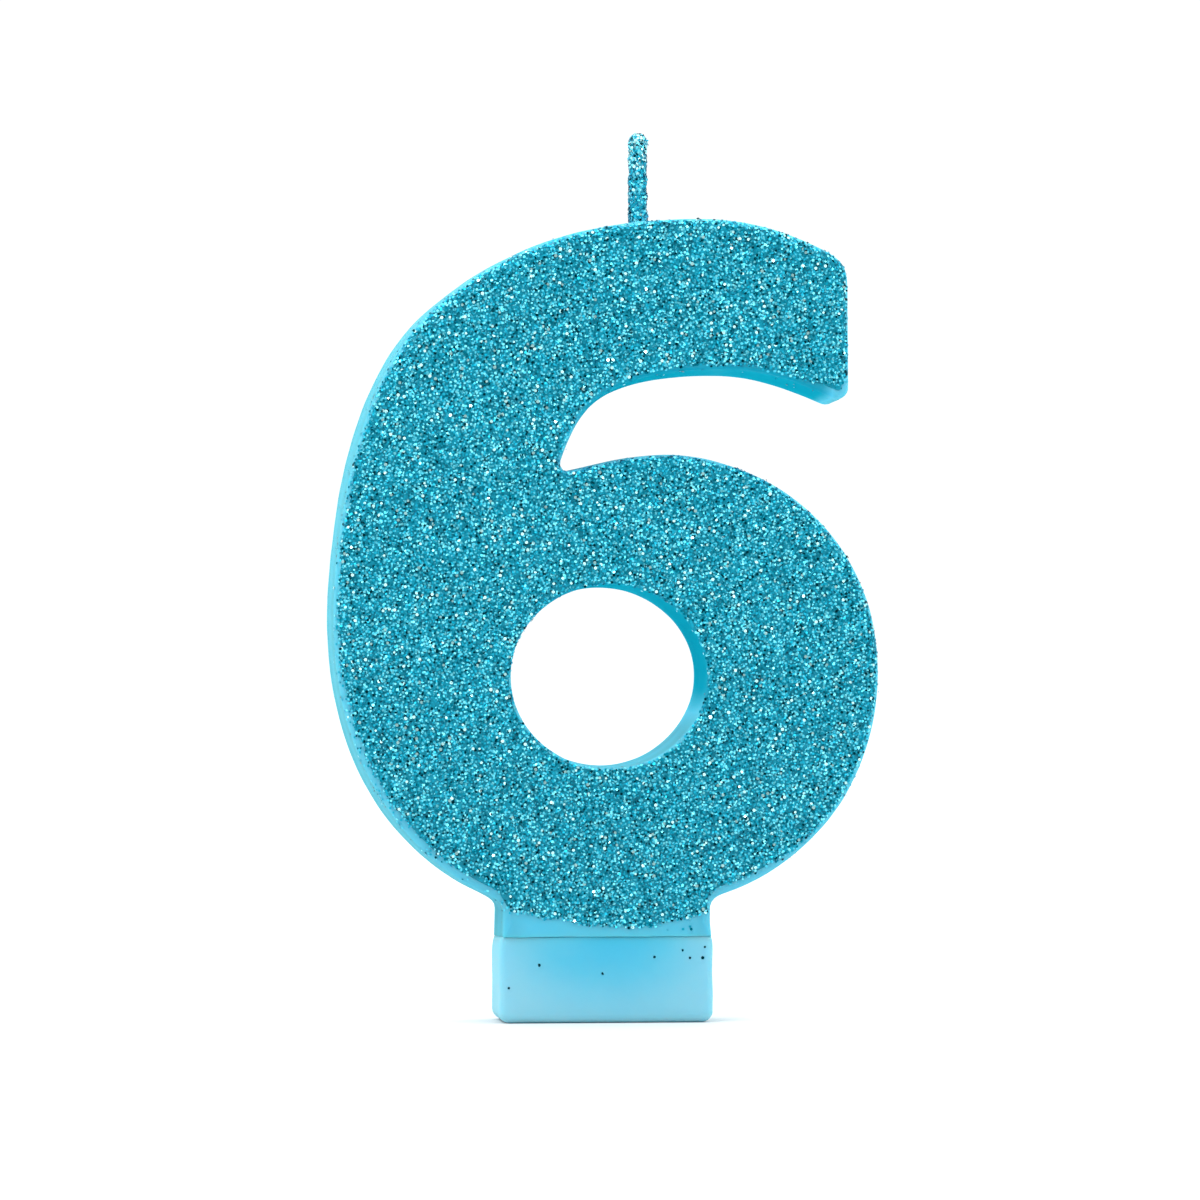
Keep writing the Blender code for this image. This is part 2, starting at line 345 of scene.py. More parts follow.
Colour = tuple[float, float, float]
Stops = list[tuple[float, Colour]]


@dataclass
class MaterialDraft:
    """A new material with its Principled shader, and short calls to wire it."""

    name: str
    material: Material = field(init=False)
    shader: Node = field(init=False)

    def __post_init__(self) -> None:
        """Makes the material."""
        self.material = bpy.data.materials.new(self.name)
        self.material.use_nodes = True
        self.shader = self.material.node_tree.nodes["Principled BSDF"]

    def node(self, kind: str) -> Node:
        """Adds a node."""
        return self.material.node_tree.nodes.new(kind)

    def link(self, output: Socket, target: Socket) -> None:
        """Joins two sockets."""
        self.material.node_tree.links.new(output, target)

    def set(self, **values: object) -> None:
        """Sets the shader's own sockets, with underscores for spaces in their names."""
        for label, value in values.items():
            self.shader.inputs[label.replace("_", " ")].default_value = value

    def place_group(self, tree: bpy.types.NodeTree, **values: float) -> Node:
        """Places a shared effect with its own values.

        Args:
            tree: the node group.
            values: its inputs, with underscores for spaces in their names.

        Returns:
            The group node.
        """
        made = self.node("ShaderNodeGroup")
        made.node_tree = tree
        for label, value in values.items():
            made.inputs[label.replace("_", " ")].default_value = value
        return made

    def mask(self, name: str) -> Socket:
        """Reads a number that the mesh stores per vertex.

        Args:
            name: the number's name.

        Returns:
            Its socket.
        """
        made = self.node("ShaderNodeAttribute")
        made.attribute_name = name
        return made.outputs["Fac"]

    def blend_colours(self, factor: Socket, stops: Stops) -> Socket:
        """Maps a factor to colours.

        Args:
            factor: the socket to map.
            stops: position and linear colour of each stop.

        Returns:
            The colour.
        """
        ramp = self.node("ShaderNodeValToRGB")
        elements = ramp.color_ramp.elements
        while len(elements) < len(stops):
            elements.new(0.5)
        for element, (position, colour) in zip(elements, stops):
            element.position = position
            element.color = (*colour, 1.0)
        self.link(factor, ramp.inputs["Fac"])
        return ramp.outputs["Color"]

    def add_soft_gloss(self, weight: float, roughness: float) -> None:
        """Adds a coat that shines where it faces out and fades at a glancing view, as on wax with a skin.

        Args:
            weight: the coat's weight where it faces out.
            roughness: of the coat.
        """
        facing = self.node("ShaderNodeLayerWeight")
        facing.inputs["Blend"].default_value = 0.5
        fade = self.node("ShaderNodeMapRange")
        for label, value in (("From Min", 0.2), ("From Max", 0.8), ("To Min", weight), ("To Max", 0.0)):
            fade.inputs[label].default_value = value
        self.link(facing.outputs["Facing"], fade.inputs["Value"])
        self.link(fade.outputs[0], self.shader.inputs["Coat Weight"])
        self.set(Coat_Roughness=roughness, Coat_IOR=1.45)

    def add_clouded_colour(
        self, effects: Effects, stops: Stops, scale: float, contrast: float, depth: float | Socket
    ) -> None:
        """Gives the base colour soft patches.

        Args:
            effects: the shared effects.
            stops: position and linear colour of each stop.
            scale: patches per metre.
            contrast: how far the patches differ.
            depth: the middle of the range, as a number or a socket.
        """
        cloud = self.place_group(effects.cloud, Patch_Scale=scale, Contrast=contrast)
        if isinstance(depth, Socket):
            self.link(depth, cloud.inputs["Depth"])
        else:
            cloud.inputs["Depth"].default_value = depth
        colour = self.blend_colours(cloud.outputs["Clouded Depth"], stops)
        self.link(colour, self.shader.inputs["Base Color"])

    def add_grain(self, effects: Effects, scale: float, rough: Span, strength: float, height: float) -> None:
        """Adds fine surface grain to roughness and normal.

        Args:
            effects: the shared effects.
            scale: grains per metre.
            rough: lowest and highest roughness.
            strength: of the bump.
            height: of the bump, in metres.
        """
        low, high = rough
        grain = self.place_group(effects.grain, Grain_Scale=scale, Roughness_Low=low, Roughness_High=high)
        self.link(grain.outputs["Roughness"], self.shader.inputs["Roughness"])
        bump = self.node("ShaderNodeBump")
        bump.inputs["Strength"].default_value = strength
        bump.inputs["Distance"].default_value = height
        self.link(grain.outputs["Height"], bump.inputs["Height"])
        self.link(bump.outputs["Normal"], self.shader.inputs["Normal"])


@dataclass(frozen=True)
class WaxFinish:
    """Translucent light blue wax: deeper colour where it is thick, paler at its edges, and the deep colour is
    also painted shade where the mesh's mask marks it.
    """

    name: str
    deep: Colour = (0.003, 0.290, 0.420)
    middle: Colour = (0.092, 0.505, 0.700)
    pale: Colour = (0.080, 0.342, 0.435)
    scatter: float = 1.6 * MM
    gloss: float = 0.35
    gloss_roughness: float = 0.28
    rough: Span = (0.45, 0.60)

    def material(self, effects: Effects) -> Material:
        """Builds the material.

        Args:
            effects: the shared effects.

        Returns:
            The material, which reads the mesh's wax_depth: how thick the wax is, and where shade is painted.
        """
        draft = MaterialDraft(self.name)
        # The deep stop is also the painted shade that the mask asks for.
        stops = [(0.0, self.pale), (0.55, self.middle), (1.0, self.deep)]
        draft.add_clouded_colour(effects, stops, 150.0, 0.22, draft.mask("wax_depth"))
        draft.set(
            Subsurface_Weight=0.75,
            Subsurface_Radius=(0.35, 0.85, 1.0),
            Subsurface_Scale=self.scatter,
            Specular_IOR_Level=0.0,
        )
        draft.add_soft_gloss(self.gloss, self.gloss_roughness)
        draft.add_grain(effects, 1400.0, self.rough, 0.25, 0.02 * MM)
        return draft.material


@dataclass(frozen=True)
class GlueFinish:
    """Clear glossy glue over the wax, tinted by the glitter dust in it."""

    name: str = "glitter_glue"
    deep: Colour = (0.000, 0.130, 0.190)
    pale: Colour = (0.002, 0.270, 0.390)

    def material(self, effects: Effects) -> Material:
        """Builds the material.

        Args:
            effects: the shared effects.

        Returns:
            The material.
        """
        draft = MaterialDraft(self.name)
        draft.add_clouded_colour(effects, [(0.15, self.deep), (0.85, self.pale)], 900.0, 2.2, 0.5)
        draft.set(Specular_IOR_Level=0.1)
        draft.add_soft_gloss(0.15, 0.12)
        draft.add_grain(effects, 3000.0, (0.25, 0.45), 0.6, 0.05 * MM)
        return draft.material


class Flake(Enum):
    """The kinds of glitter flake, as the place of each one's material on a mesh. They are lit and shaded
    copies of one blue film: DARK and DEEP are painted shade, FROST and FLASH painted sparkle.
    """

    DARK = 0
    DEEP = 1
    MID = 2
    PALE = 3
    FROST = 4
    FLASH = 5


@dataclass(frozen=True)
class FlakeFinish:
    """One tint of metallised film, with a lacquered and slightly crinkled surface."""

    kind: Flake
    colour: Colour
    rough: Span

    def material(self, effects: Effects) -> Material:
        """Builds the material.

        Args:
            effects: the shared effects.

        Returns:
            The material.
        """
        draft = MaterialDraft("flake_" + self.kind.name.lower())
        draft.set(Base_Color=(*self.colour, 1.0), Metallic=1.0)
        draft.add_grain(effects, 6000.0, self.rough, 0.35, 0.01 * MM)
        return draft.material


# Painted sparkle and shade: one blue film in six tints, from near black to near white; each flake still
# reflects as metal.
FLAKE_FINISHES = (
    FlakeFinish(Flake.DARK, (0.000, 0.030, 0.042), (0.25, 0.40)),
    FlakeFinish(Flake.DEEP, (0.001, 0.150, 0.220), (0.25, 0.45)),
    FlakeFinish(Flake.MID, (0.012, 0.350, 0.510), (0.25, 0.45)),
    FlakeFinish(Flake.PALE, (0.085, 0.600, 0.770), (0.22, 0.40)),
    FlakeFinish(Flake.FROST, (0.190, 0.800, 0.930), (0.20, 0.35)),
    FlakeFinish(Flake.FLASH, (0.520, 0.980, 1.000), (0.12, 0.25)),
)


@dataclass(frozen=True)
class CottonFinish:
    """Bleached cotton yarn that has soaked up pale blue wax."""

    name: str = "waxed_cotton"
    light: Colour = (0.78, 0.86, 0.86)
    shade: Colour = (0.42, 0.62, 0.68)

    def material(self, effects: Effects) -> Material:
        """Builds the material.

        Args:
            effects: the shared effects.

        Returns:
            The material.
        """
        draft = MaterialDraft(self.name)
        draft.add_clouded_colour(effects, [(0.2, self.shade), (0.8, self.light)], 2500.0, 1.8, 0.6)
        draft.set(Sheen_Weight=0.3, Subsurface_Weight=0.2, Subsurface_Scale=0.3 * MM)
        draft.add_grain(effects, 9000.0, (0.6, 0.85), 0.8, 0.04 * MM)
        return draft.material


@dataclass(frozen=True)
class FloorFinish:
    """Matt white paper for the floor and the backdrop."""

    colour: Colour = (0.78, 0.78, 0.78)

    def material(self, effects: Effects) -> Material:
        """Builds the material.

        Args:
            effects: the shared effects.

        Returns:
            The material.
        """
        draft = MaterialDraft("studio_paper")
        draft.set(Base_Color=(*self.colour, 1.0), Specular_IOR_Level=0.1)
        draft.add_grain(effects, 700.0, (0.85, 0.95), 0.05, 0.02 * MM)
        return draft.material


# ------------------------------------------------------------------------------
# Outlines
# ------------------------------------------------------------------------------

Curve = tuple[tuple[float, float], float, float, float, float]


@dataclass(frozen=True)
class Outline:
    """The front view of the numeral: its outer edge and its hole, as dense loops of points (x, z)."""

    neck_left_mm: float = -9.85
    neck_right_mm: float = 9.8
    neck_start_mm: tuple[float, float] = (-9.85, 9.3)
    neck_bottom_mm: float = 7.78
    hole_centre_mm: tuple[float, float] = (0.1, 32.0)
    hole_half_width_mm: float = 8.9
    hole_half_height_mm: float = 8.3
    spacing_mm: float = 0.35
    curve_points: int = 60
    corner_clearance_mm: float = 1.4
    # End point, direction at the start, handle there, direction at the end and handle there.
    curves: tuple[Curve, ...] = (
        ((-9.85, 10.4), 90, 0.3, 90, 0.3),
        ((-10.7, 11.41), 90, 0.5, 150, 0.5),
        ((-12.7, 12.45), 150, 0.7, 151, 0.7),
        ((-25.5, 37.0), 151, 10.2, 90, 9.6),
        ((-16.25, 66.05), 90, 9.4, 41.5, 9.4),
        ((9.1, 74.6), 41.5, 9.6, 0, 10.0),
        ((19.4, 72.2), 0, 3.5, -25, 3.5),
        ((22.65, 68.0), -25, 3.2, -90, 2.2),
        ((22.7, 58.8), -90, 3.0, -90, 3.0),
        ((20.98, 57.64), -90, 0.89, 158, 0.89),
        ((10.9, 60.2), 158, 4.0, 180, 3.8),
        ((-4.1, 52.0), 180, 12.4, -112, 4.0),
        ((-3.4, 51.2), -112, 0.7, 12, 0.6),
        ((5.2, 52.7), 12, 2.8, 0, 2.8),
        ((25.48, 32.4), 0, 10.7, -90, 12.2),
        ((12.3, 12.25), -90, 8.6, -158, 9.3),
        ((10.6, 11.6), -158, 0.6, -157, 0.6),
        ((9.8, 10.6), -157, 0.45, -90, 0.5),
        ((9.8, 9.3), -90, 0.3, -90, 0.3),
    )

    def outer(self) -> Array:
        """The outer edge, clockwise seen from the front.

        Returns:
            Points (x, z) in metres, evenly spaced.
        """
        start = Vector(self.neck_start_mm)
        points = []
        for end, leave_degrees, leave, arrive_degrees, arrive in self.curves:
            end = Vector(end)
            first = start + leave * self.heading(leave_degrees)
            second = end - arrive * self.heading(arrive_degrees)
            points += interpolate_bezier(start, first, second, end, self.curve_points)[:-1]
            start = end
        sides = self.respaced(np.array([tuple(p) for p in [*points, start]]))
        clear = self.corner_clearance_mm
        inner_right = (self.neck_right_mm - clear, self.neck_bottom_mm)
        inner_left = (self.neck_left_mm + clear, self.neck_bottom_mm)
        under = self.respaced(np.array([inner_right, inner_left]))
        left = [(self.neck_left_mm, self.neck_bottom_mm)]
        right = [(self.neck_right_mm, self.neck_bottom_mm)]
        return np.vstack([left, sides, right, under]) * MM

    @staticmethod
    def heading(degrees: float) -> Vector:
        """The unit direction at an angle from +x towards +z."""
        return Vector((math.cos(math.radians(degrees)), math.sin(math.radians(degrees))))

    def hole(self) -> Array:
        """The edge of the hole, anticlockwise seen from the front.

        Returns:
            Points (x, z) in metres.
        """
        count = round(2.0 * math.pi * self.hole_half_width_mm / self.spacing_mm)
        turn = np.linspace(0.0, 2.0 * math.pi, count, endpoint=False)
        x = self.hole_centre_mm[0] + self.hole_half_width_mm * np.cos(turn)
        z = self.hole_centre_mm[1] + self.hole_half_height_mm * np.sin(turn)
        return np.column_stack([x, z]) * MM

    def respaced(self, points: Array) -> Array:
        """Spaces points evenly along an open line.

        Args:
            points: the line's corners (x, z) in millimetres.

        Returns:
            Points about one spacing apart.
        """
        run = np.concatenate([[0.0], np.cumsum(np.linalg.norm(np.diff(points, axis=0), axis=1))])
        count = max(2, round(run[-1] / self.spacing_mm) + 1)
        at = np.linspace(0.0, run[-1], count)
        return np.column_stack([np.interp(at, run, points[:, 0]), np.interp(at, run, points[:, 1])])


def inward_normals(loop: Array) -> Array:
    """The direction into the material at each point of a loop, stretched so that insets keep their corners.

    Args:
        loop: points (x, z), with the material on the right of the way they run.

    Returns:
        One direction per row, of length one or more.
    """
    before = unit(loop - np.roll(loop, 1, axis=0))
    after = unit(np.roll(loop, -1, axis=0) - loop)
    right_before = np.column_stack([before[:, 1], -before[:, 0]])
    right_after = np.column_stack([after[:, 1], -after[:, 0]])
    mitre = unit(right_before + right_after)
    stretch = np.maximum(np.sum(mitre * right_before, axis=1, keepdims=True), 0.5)
    return mitre / stretch


@dataclass
class EdgeField:
    """Distance and direction to the nearest edge of a shape, for any point (x, z)."""

    loops: list[Array]
    sample_gap: float = 0.3 * MM
    starts: Array = field(init=False)
    runs: Array = field(init=False)
    outwards: Array = field(init=False)
    before: Array = field(init=False)
    after: Array = field(init=False)
    loop_of_edge: Array = field(init=False)
    edge_of_sample: list[int] = field(init=False)
    tree: KDTree = field(init=False)

    def __post_init__(self) -> None:
        """Collects the edges of every loop, and samples along them to search."""
        self.starts = np.vstack(self.loops)
        self.runs = np.vstack([np.roll(loop, -1, axis=0) for loop in self.loops]) - self.starts
        along = unit(self.runs)
        self.outwards = np.column_stack([-along[:, 1], along[:, 0]])
        counts = [len(loop) for loop in self.loops]
        firsts = np.concatenate([[0], np.cumsum(counts)[:-1]])
        self.before = np.concatenate([first + np.roll(np.arange(n), 1) for first, n in zip(firsts, counts)])
        self.after = np.concatenate([first + np.roll(np.arange(n), -1) for first, n in zip(firsts, counts)])
        self.loop_of_edge = np.repeat(np.arange(len(counts)), counts)
        samples = []
        self.edge_of_sample = []
        for edge, (start, run) in enumerate(zip(self.starts, self.runs)):
            steps = max(2, math.ceil(np.linalg.norm(run) / self.sample_gap))
            samples += [start + run * step / steps for step in range(steps)]
            self.edge_of_sample += [edge] * steps
        self.tree = KDTree(len(samples))
        for index, (x, z) in enumerate(samples):
            self.tree.insert((x, z, 0.0), index)
        self.tree.balance()

    def measure(self, points: Array) -> tuple[Array, Array, Array]:
        """Measures points against the edges.

        Args:
            points: positions (x, z), one per row.

        Returns:
            The depth into the material (negative outside), the outward direction at the nearest edge, and the
            number of the loop that it is on.
        """
        near = np.array([self.edge_of_sample[self.tree.find((x, z, 0.0))[1]] for x, z in points.tolist()])
        choices = np.stack([self.before[near], near, self.after[near]], axis=1)
        away = points[:, None] - self.starts[choices]
        run = self.runs[choices]
        share = np.clip(np.sum(away * run, axis=2) / np.sum(run * run, axis=2), 0.0, 1.0)
        gap = away - share[:, :, None] * run
        rows = np.arange(len(points))
        best = np.argmin(np.sum(gap * gap, axis=2), axis=1)
        edge = choices[rows, best]
        gap = gap[rows, best]
        share = share[rows, best]
        outward = self.outwards[edge].copy()
        outward += np.where(share[:, None] <= 0.0, self.outwards[self.before[edge]], 0.0)
        outward += np.where(share[:, None] >= 1.0, self.outwards[self.after[edge]], 0.0)
        depth = np.linalg.norm(gap, axis=1) * np.where(np.sum(gap * outward, axis=1) > 0, -1.0, 1.0)
        return depth, unit(outward), self.loop_of_edge[edge]


@dataclass(frozen=True)
class CastSection:
    """The section through the cast numeral: where its surfaces lie at each depth from an edge."""

    front_y: float
    back_y: float
    front_radii: Span = (0.9 * MM, 0.35 * MM)
    back_radius: float = 0.4 * MM
    draft: float = 0.2 * MM
    dish: float = 0.28 * MM
    rim_width: float = 2.2 * MM
    neck_radius: float = 0.10 * MM
    neck_blend: float = 1.2 * MM

    def radius(self, loop: Array) -> Array:
        """The front edge radius on each loop."""
        return np.asarray(self.front_radii)[loop]

    def radius_round(self, number: int, loop: Array, neck_bottom: float) -> Array:
        """The front edge radius at each point of a loop, which gets tight where the neck meets the foot.

        Args:
            number: 0 for the outer edge and 1 for the hole.
            loop: points (x, z).
            neck_bottom: the z of the bottom of the neck.

        Returns:
            One radius per point.
        """
        full = self.front_radii[number]
        heights = (neck_bottom, neck_bottom + self.neck_blend)
        return np.interp(loop[:, 1], heights, (min(full, self.neck_radius), full))

    def front(self, depth: Array, outward: Array, loop: Array) -> tuple[Array, Array]:
        """The front surface.

        Args:
            depth: distance into the material from the nearest edge.
            outward: direction to that edge, one row each.
            loop: the loop that the edge is on.

        Returns:
            The y of the surface and its outward normal, one row each.
        """
        radius = self.radius(loop)
        lean = np.clip((self.draft + radius - depth) / radius, 0.0, 0.98)
        rise = np.sqrt(1.0 - lean * lean)
        normal = np.column_stack([outward[:, 0] * lean, -rise, outward[:, 1] * lean])
        return self.front_y + radius - radius * rise, normal

    def back(self, depth: Array, points: Array) -> Array:
        """The back surface, which sank a little as the poured wax cooled, inside a low rim.

        Args:
            depth: distance into the material from the nearest edge.
            points: positions (x, z), one per row.

        Returns:
            The y of the surface.
        """
        sunk = smoothstep(self.back_radius, self.rim_width, depth) * self.dish
        wide = SoftNoise(14.0 * MM, 5).at(points) * 0.05 * MM
        ripple = wide + SoftNoise(4.0 * MM, 6).at(points) * 0.012 * MM
        return self.back_y - sunk + ripple * smoothstep(0.5 * MM, 3.0 * MM, depth)


def loose_grid(low: Array, high: Array, spacing: float) -> tuple[Array, int]:
    """Lays a triangular grid over a box.

    Args:
        low: the box's lowest corner (x, z).
        high: its highest corner.
        spacing: between neighbours.

    Returns:
        The points, row by row, and how many a row has.
    """
    rows = np.arange(low[1], high[1], spacing * ROW_SHARE)
    columns = np.arange(low[0], high[0], spacing)
    shift = (np.arange(len(rows)) % 2) * spacing / 2
    grid = np.column_stack([(columns[None] + shift[:, None]).ravel(), np.repeat(rows, len(columns))])
    return grid, len(columns)


def filled_region(loops: list[Array], spacing: float, edges: EdgeField) -> tuple[Array, Triangles]:
    """Triangulates the region between loops with even interior points.

    Args:
        loops: the outer loop, then any holes, as points (x, z).
        spacing: between interior points.
        edges: the distance field of the same loops.

    Returns:
        The points, the loops' own first and in order, and the triangles.
    """
    grid, _ = loose_grid(loops[0].min(axis=0), loops[0].max(axis=0), spacing)
    depth = edges.measure(grid)[0]
    points = np.vstack([*loops, grid[depth > 0.55 * spacing]])
    border = []
    first = 0
    for loop in loops:
        count = len(loop)
        border += [(first + i, first + (i + 1) % count) for i in range(count)]
        first += count
    scaled = [Vector(p) for p in points / MM]
    verts, _, faces, origins, _, _ = delaunay_2d_cdt(scaled, border, [], 0, 1e-5)
    out = np.array([tuple(v) for v in verts]) * MM
    if len(out) != len(points) or any(o[0] != i for i, o in enumerate(origins)):
        raise RuntimeError("the triangulation merged or moved points of the outline")
    corners = np.array(faces)
    middle = out[corners].mean(axis=1)
    inside = edges.measure(middle)[0] > 0
    return out, [tuple(int(i) for i in face) for face in corners[inside]]


# ------------------------------------------------------------------------------
# Mesh making
# ------------------------------------------------------------------------------


@dataclass
class MeshDraft:
    """Vertices and faces of a piece while it is being made."""

    blocks: list[Array] = field(default_factory=list)
    faces: Triangles = field(default_factory=list)
    count: int = 0

    def add(self, points: Array) -> int:
        """Adds vertices.

        Args:
            points: their positions, one per row.

        Returns:
            The index of the first.
        """
        first = self.count
        self.blocks.append(points)
        self.count += len(points)
        return first

    def bridge(self, ring: int, next_ring: int, size: int) -> None:
        """Adds quads between two closed rings.

        Args:
            ring: index of the first vertex of one ring.
            next_ring: index of the first vertex of the other.
            size: vertices in each ring.
        """
        for step in range(size):
            after = (step + 1) % size
            self.faces.append((ring + step, ring + after, next_ring + after, next_ring + step))

    def fill(self, region: tuple[Array, Triangles], rings: list[tuple[int, int]], y_of: PointRule) -> None:
        """Adds a cap whose border is vertices that are already there.

        Args:
            region: points (x, z) that start with the border rings in order, and triangles.
            rings: index of the first vertex and size of each border ring.
            y_of: gives the y of the inner points.
        """
        points, triangles = region
        border = [start + step for start, size in rings for step in range(size)]
        inner = points[len(border) :]
        first = self.add(np.column_stack([inner[:, 0], y_of(inner), inner[:, 1]]))
        names = border + list(range(first, first + len(inner)))
        self.faces += [tuple(names[i] for i in triangle) for triangle in triangles]

    def cap(self, ring: int, size: int, centre: Array) -> None:
        """Closes a ring with a fan round a new point.

        Args:
            ring: index of the ring's first vertex.
            size: vertices in the ring.
            centre: the new point.
        """
        tip = self.add(np.asarray(centre, float).reshape(1, 3))
        self.faces += [(ring + step, ring + (step + 1) % size, tip) for step in range(size)]

    def piece(self, name: str, materials: list[Material], sharp_degrees: float = 40.0) -> Piece:
        """Turns the draft into a smooth-shaded object.

        Args:
            name: the piece's name.
            materials: one per slot.
            sharp_degrees: edges with a sharper fold are shaded sharp.

        Returns:
            The object.
        """
        made = new_mesh_object(name, np.vstack(self.blocks), self.faces, materials, True)
        face_outwards(made)
        made.data.set_sharp_from_angle(angle=math.radians(sharp_degrees))
        return made


def in_depth(points: Array, y: float | Array) -> Array:
    """Stands points (x, z) at a y, as rows (x, y, z)."""
    return np.column_stack([points[:, 0], np.broadcast_to(y, len(points)), points[:, 1]])


def combine(piece: Piece, other: Piece, operation: str) -> None:
    """Joins or cuts a piece with another closed mesh, which is then removed.

    Args:
        piece: the piece that is kept.
        other: the mesh that joins or cuts it.
        operation: UNION or DIFFERENCE.
    """
    modifier = piece.modifiers.new(operation.lower(), "BOOLEAN")
    modifier.operation = operation
    modifier.solver = "EXACT"
    modifier.object = other
    view = bpy.context.evaluated_depsgraph_get()
    made = bpy.data.meshes.new_from_object(piece.evaluated_get(view))
    piece.modifiers.clear()
    piece.data = made
    bpy.data.objects.remove(other)


def soft_box(name: str, low: Vector, high: Vector, radius: float) -> Piece:
    """Makes a closed box with rounded edges.

    Args:
        name: the object's name.
        low: its lowest corner.
        high: its highest corner.
        radius: of its edges.

    Returns:
        The object.
    """
    bm = bmesh.new()
    bmesh.ops.create_cube(bm, size=1.0)
    for vert in bm.verts:
        vert.co = [low[axis] if vert.co[axis] < 0 else high[axis] for axis in range(3)]
    bmesh.ops.bevel(bm, geom=bm.edges[:], offset=radius, segments=3, profile=0.5, affect="EDGES")
    mesh = bpy.data.meshes.new(name)
    bm.to_mesh(mesh)
    bm.free()
    made = bpy.data.objects.new(name, mesh)
    bpy.context.scene.collection.objects.link(made)
    return made


def swell(piece: Piece, fields: list[tuple[SoftNoise, float]], share: PointRule | None = None) -> None:
    """Moves vertices along their normals by soft noise, so that the surface looks cast and handled.

    Args:
        piece: the mesh to change.
        fields: each noise and how far it moves the surface.
        share: gives how much of the move each vertex gets, from its position.
    """
    at = vertex_positions(piece)
    normals = np.zeros(len(at) * 3)
    piece.data.vertices.foreach_get("normal", normals)
    move = sum(noise.at(at) * reach for noise, reach in fields)
    if share:
        move = move * share(at)
    piece.data.vertices.foreach_set("co", (at + normals.reshape(-1, 3) * move[:, None]).ravel())
    piece.data.update()


# ------------------------------------------------------------------------------
# The cast numeral
# ------------------------------------------------------------------------------


@dataclass(frozen=True)
class WaxDepthAndShade:
    """Where the numeral's wax looks deep: inside and on its broad faces, where it is thick, and as painted
    shade on the faces under the arm that look down and on the hole's walls that face down and left.

    Each span gives where an effect starts and where it is complete.
    """

    inside: Span = (0.2 * MM, 2.8 * MM)
    inside_per_face: float = 0.25
    neck_heights: Span = (13.0 * MM, 10.5 * MM)
    neck_sides: Span = (9.8 * MM, 7.5 * MM)
    rim_depth: float = 0.70
    rim: Span = (1.3 * MM, 0.5 * MM)
    front_level: float = 0.5
    back_level: float = 0.64
    ceiling_shade_facing: Span = (0.1, 0.7)
    ceiling_shade_heights: Span = (44 * MM, 50 * MM)
    ceiling_shade_end: Span = (22.2 * MM, 19.8 * MM)
    hole_shade_facing: Span = (-0.3, 0.5)
    hole_shade_lean: float = 0.6
    sheltered: Span = (1.0 * MM, 3.0 * MM)
    back_edge: Span = (0.0, 0.5 * MM)

    def depth(self, at: Array, edges: EdgeField, section: CastSection) -> Array:
        """How deep the colour is at each point.

        Args:
            at: positions, one per row.
            edges: the edges of the numeral.
            section: the section through it.

        Returns:
            Numbers from 0 at the edges, where light comes through, to 1 inside, and up to 1 where shade is
            painted.
        """
        depth, outward, loop = edges.measure(at[:, [0, 2]])
        to_back = section.back_y - at[:, 1]
        from_faces = np.minimum(at[:, 1] - section.front_y, to_back)
        inside = smoothstep(*self.inside, depth + self.inside_per_face * from_faces)
        neck = smoothstep(*self.neck_heights, at[:, 2]) * smoothstep(*self.neck_sides, np.abs(at[:, 0]))
        rim = self.rim_depth * smoothstep(*self.rim, from_faces)
        inside = np.maximum(np.maximum(inside, neck), rim)
        behind = at[:, 1] > (section.front_y + section.back_y) / 2
        level = np.where(behind, self.back_level, self.front_level)
        # Painted shade: faces under the arm that look down, and the hole's walls that face down and left,
        # take the deep colour near the front.
        ceiling = smoothstep(*self.ceiling_shade_facing, -outward[:, 1])
        ceiling = ceiling * smoothstep(*self.ceiling_shade_heights, at[:, 2])
        ceiling = ceiling * smoothstep(*self.ceiling_shade_end, at[:, 0])
        hole_shade = smoothstep(*self.hole_shade_facing, -self.hole_shade_lean * outward[:, 0] - outward[:, 1])
        # The painted shade fades away from the edges and towards the back edge.
        near = (1.0 - smoothstep(*self.sheltered, depth)) * smoothstep(*self.back_edge, to_back)
        return np.maximum(level * inside, np.where(loop == 1, hole_shade, ceiling) * near)


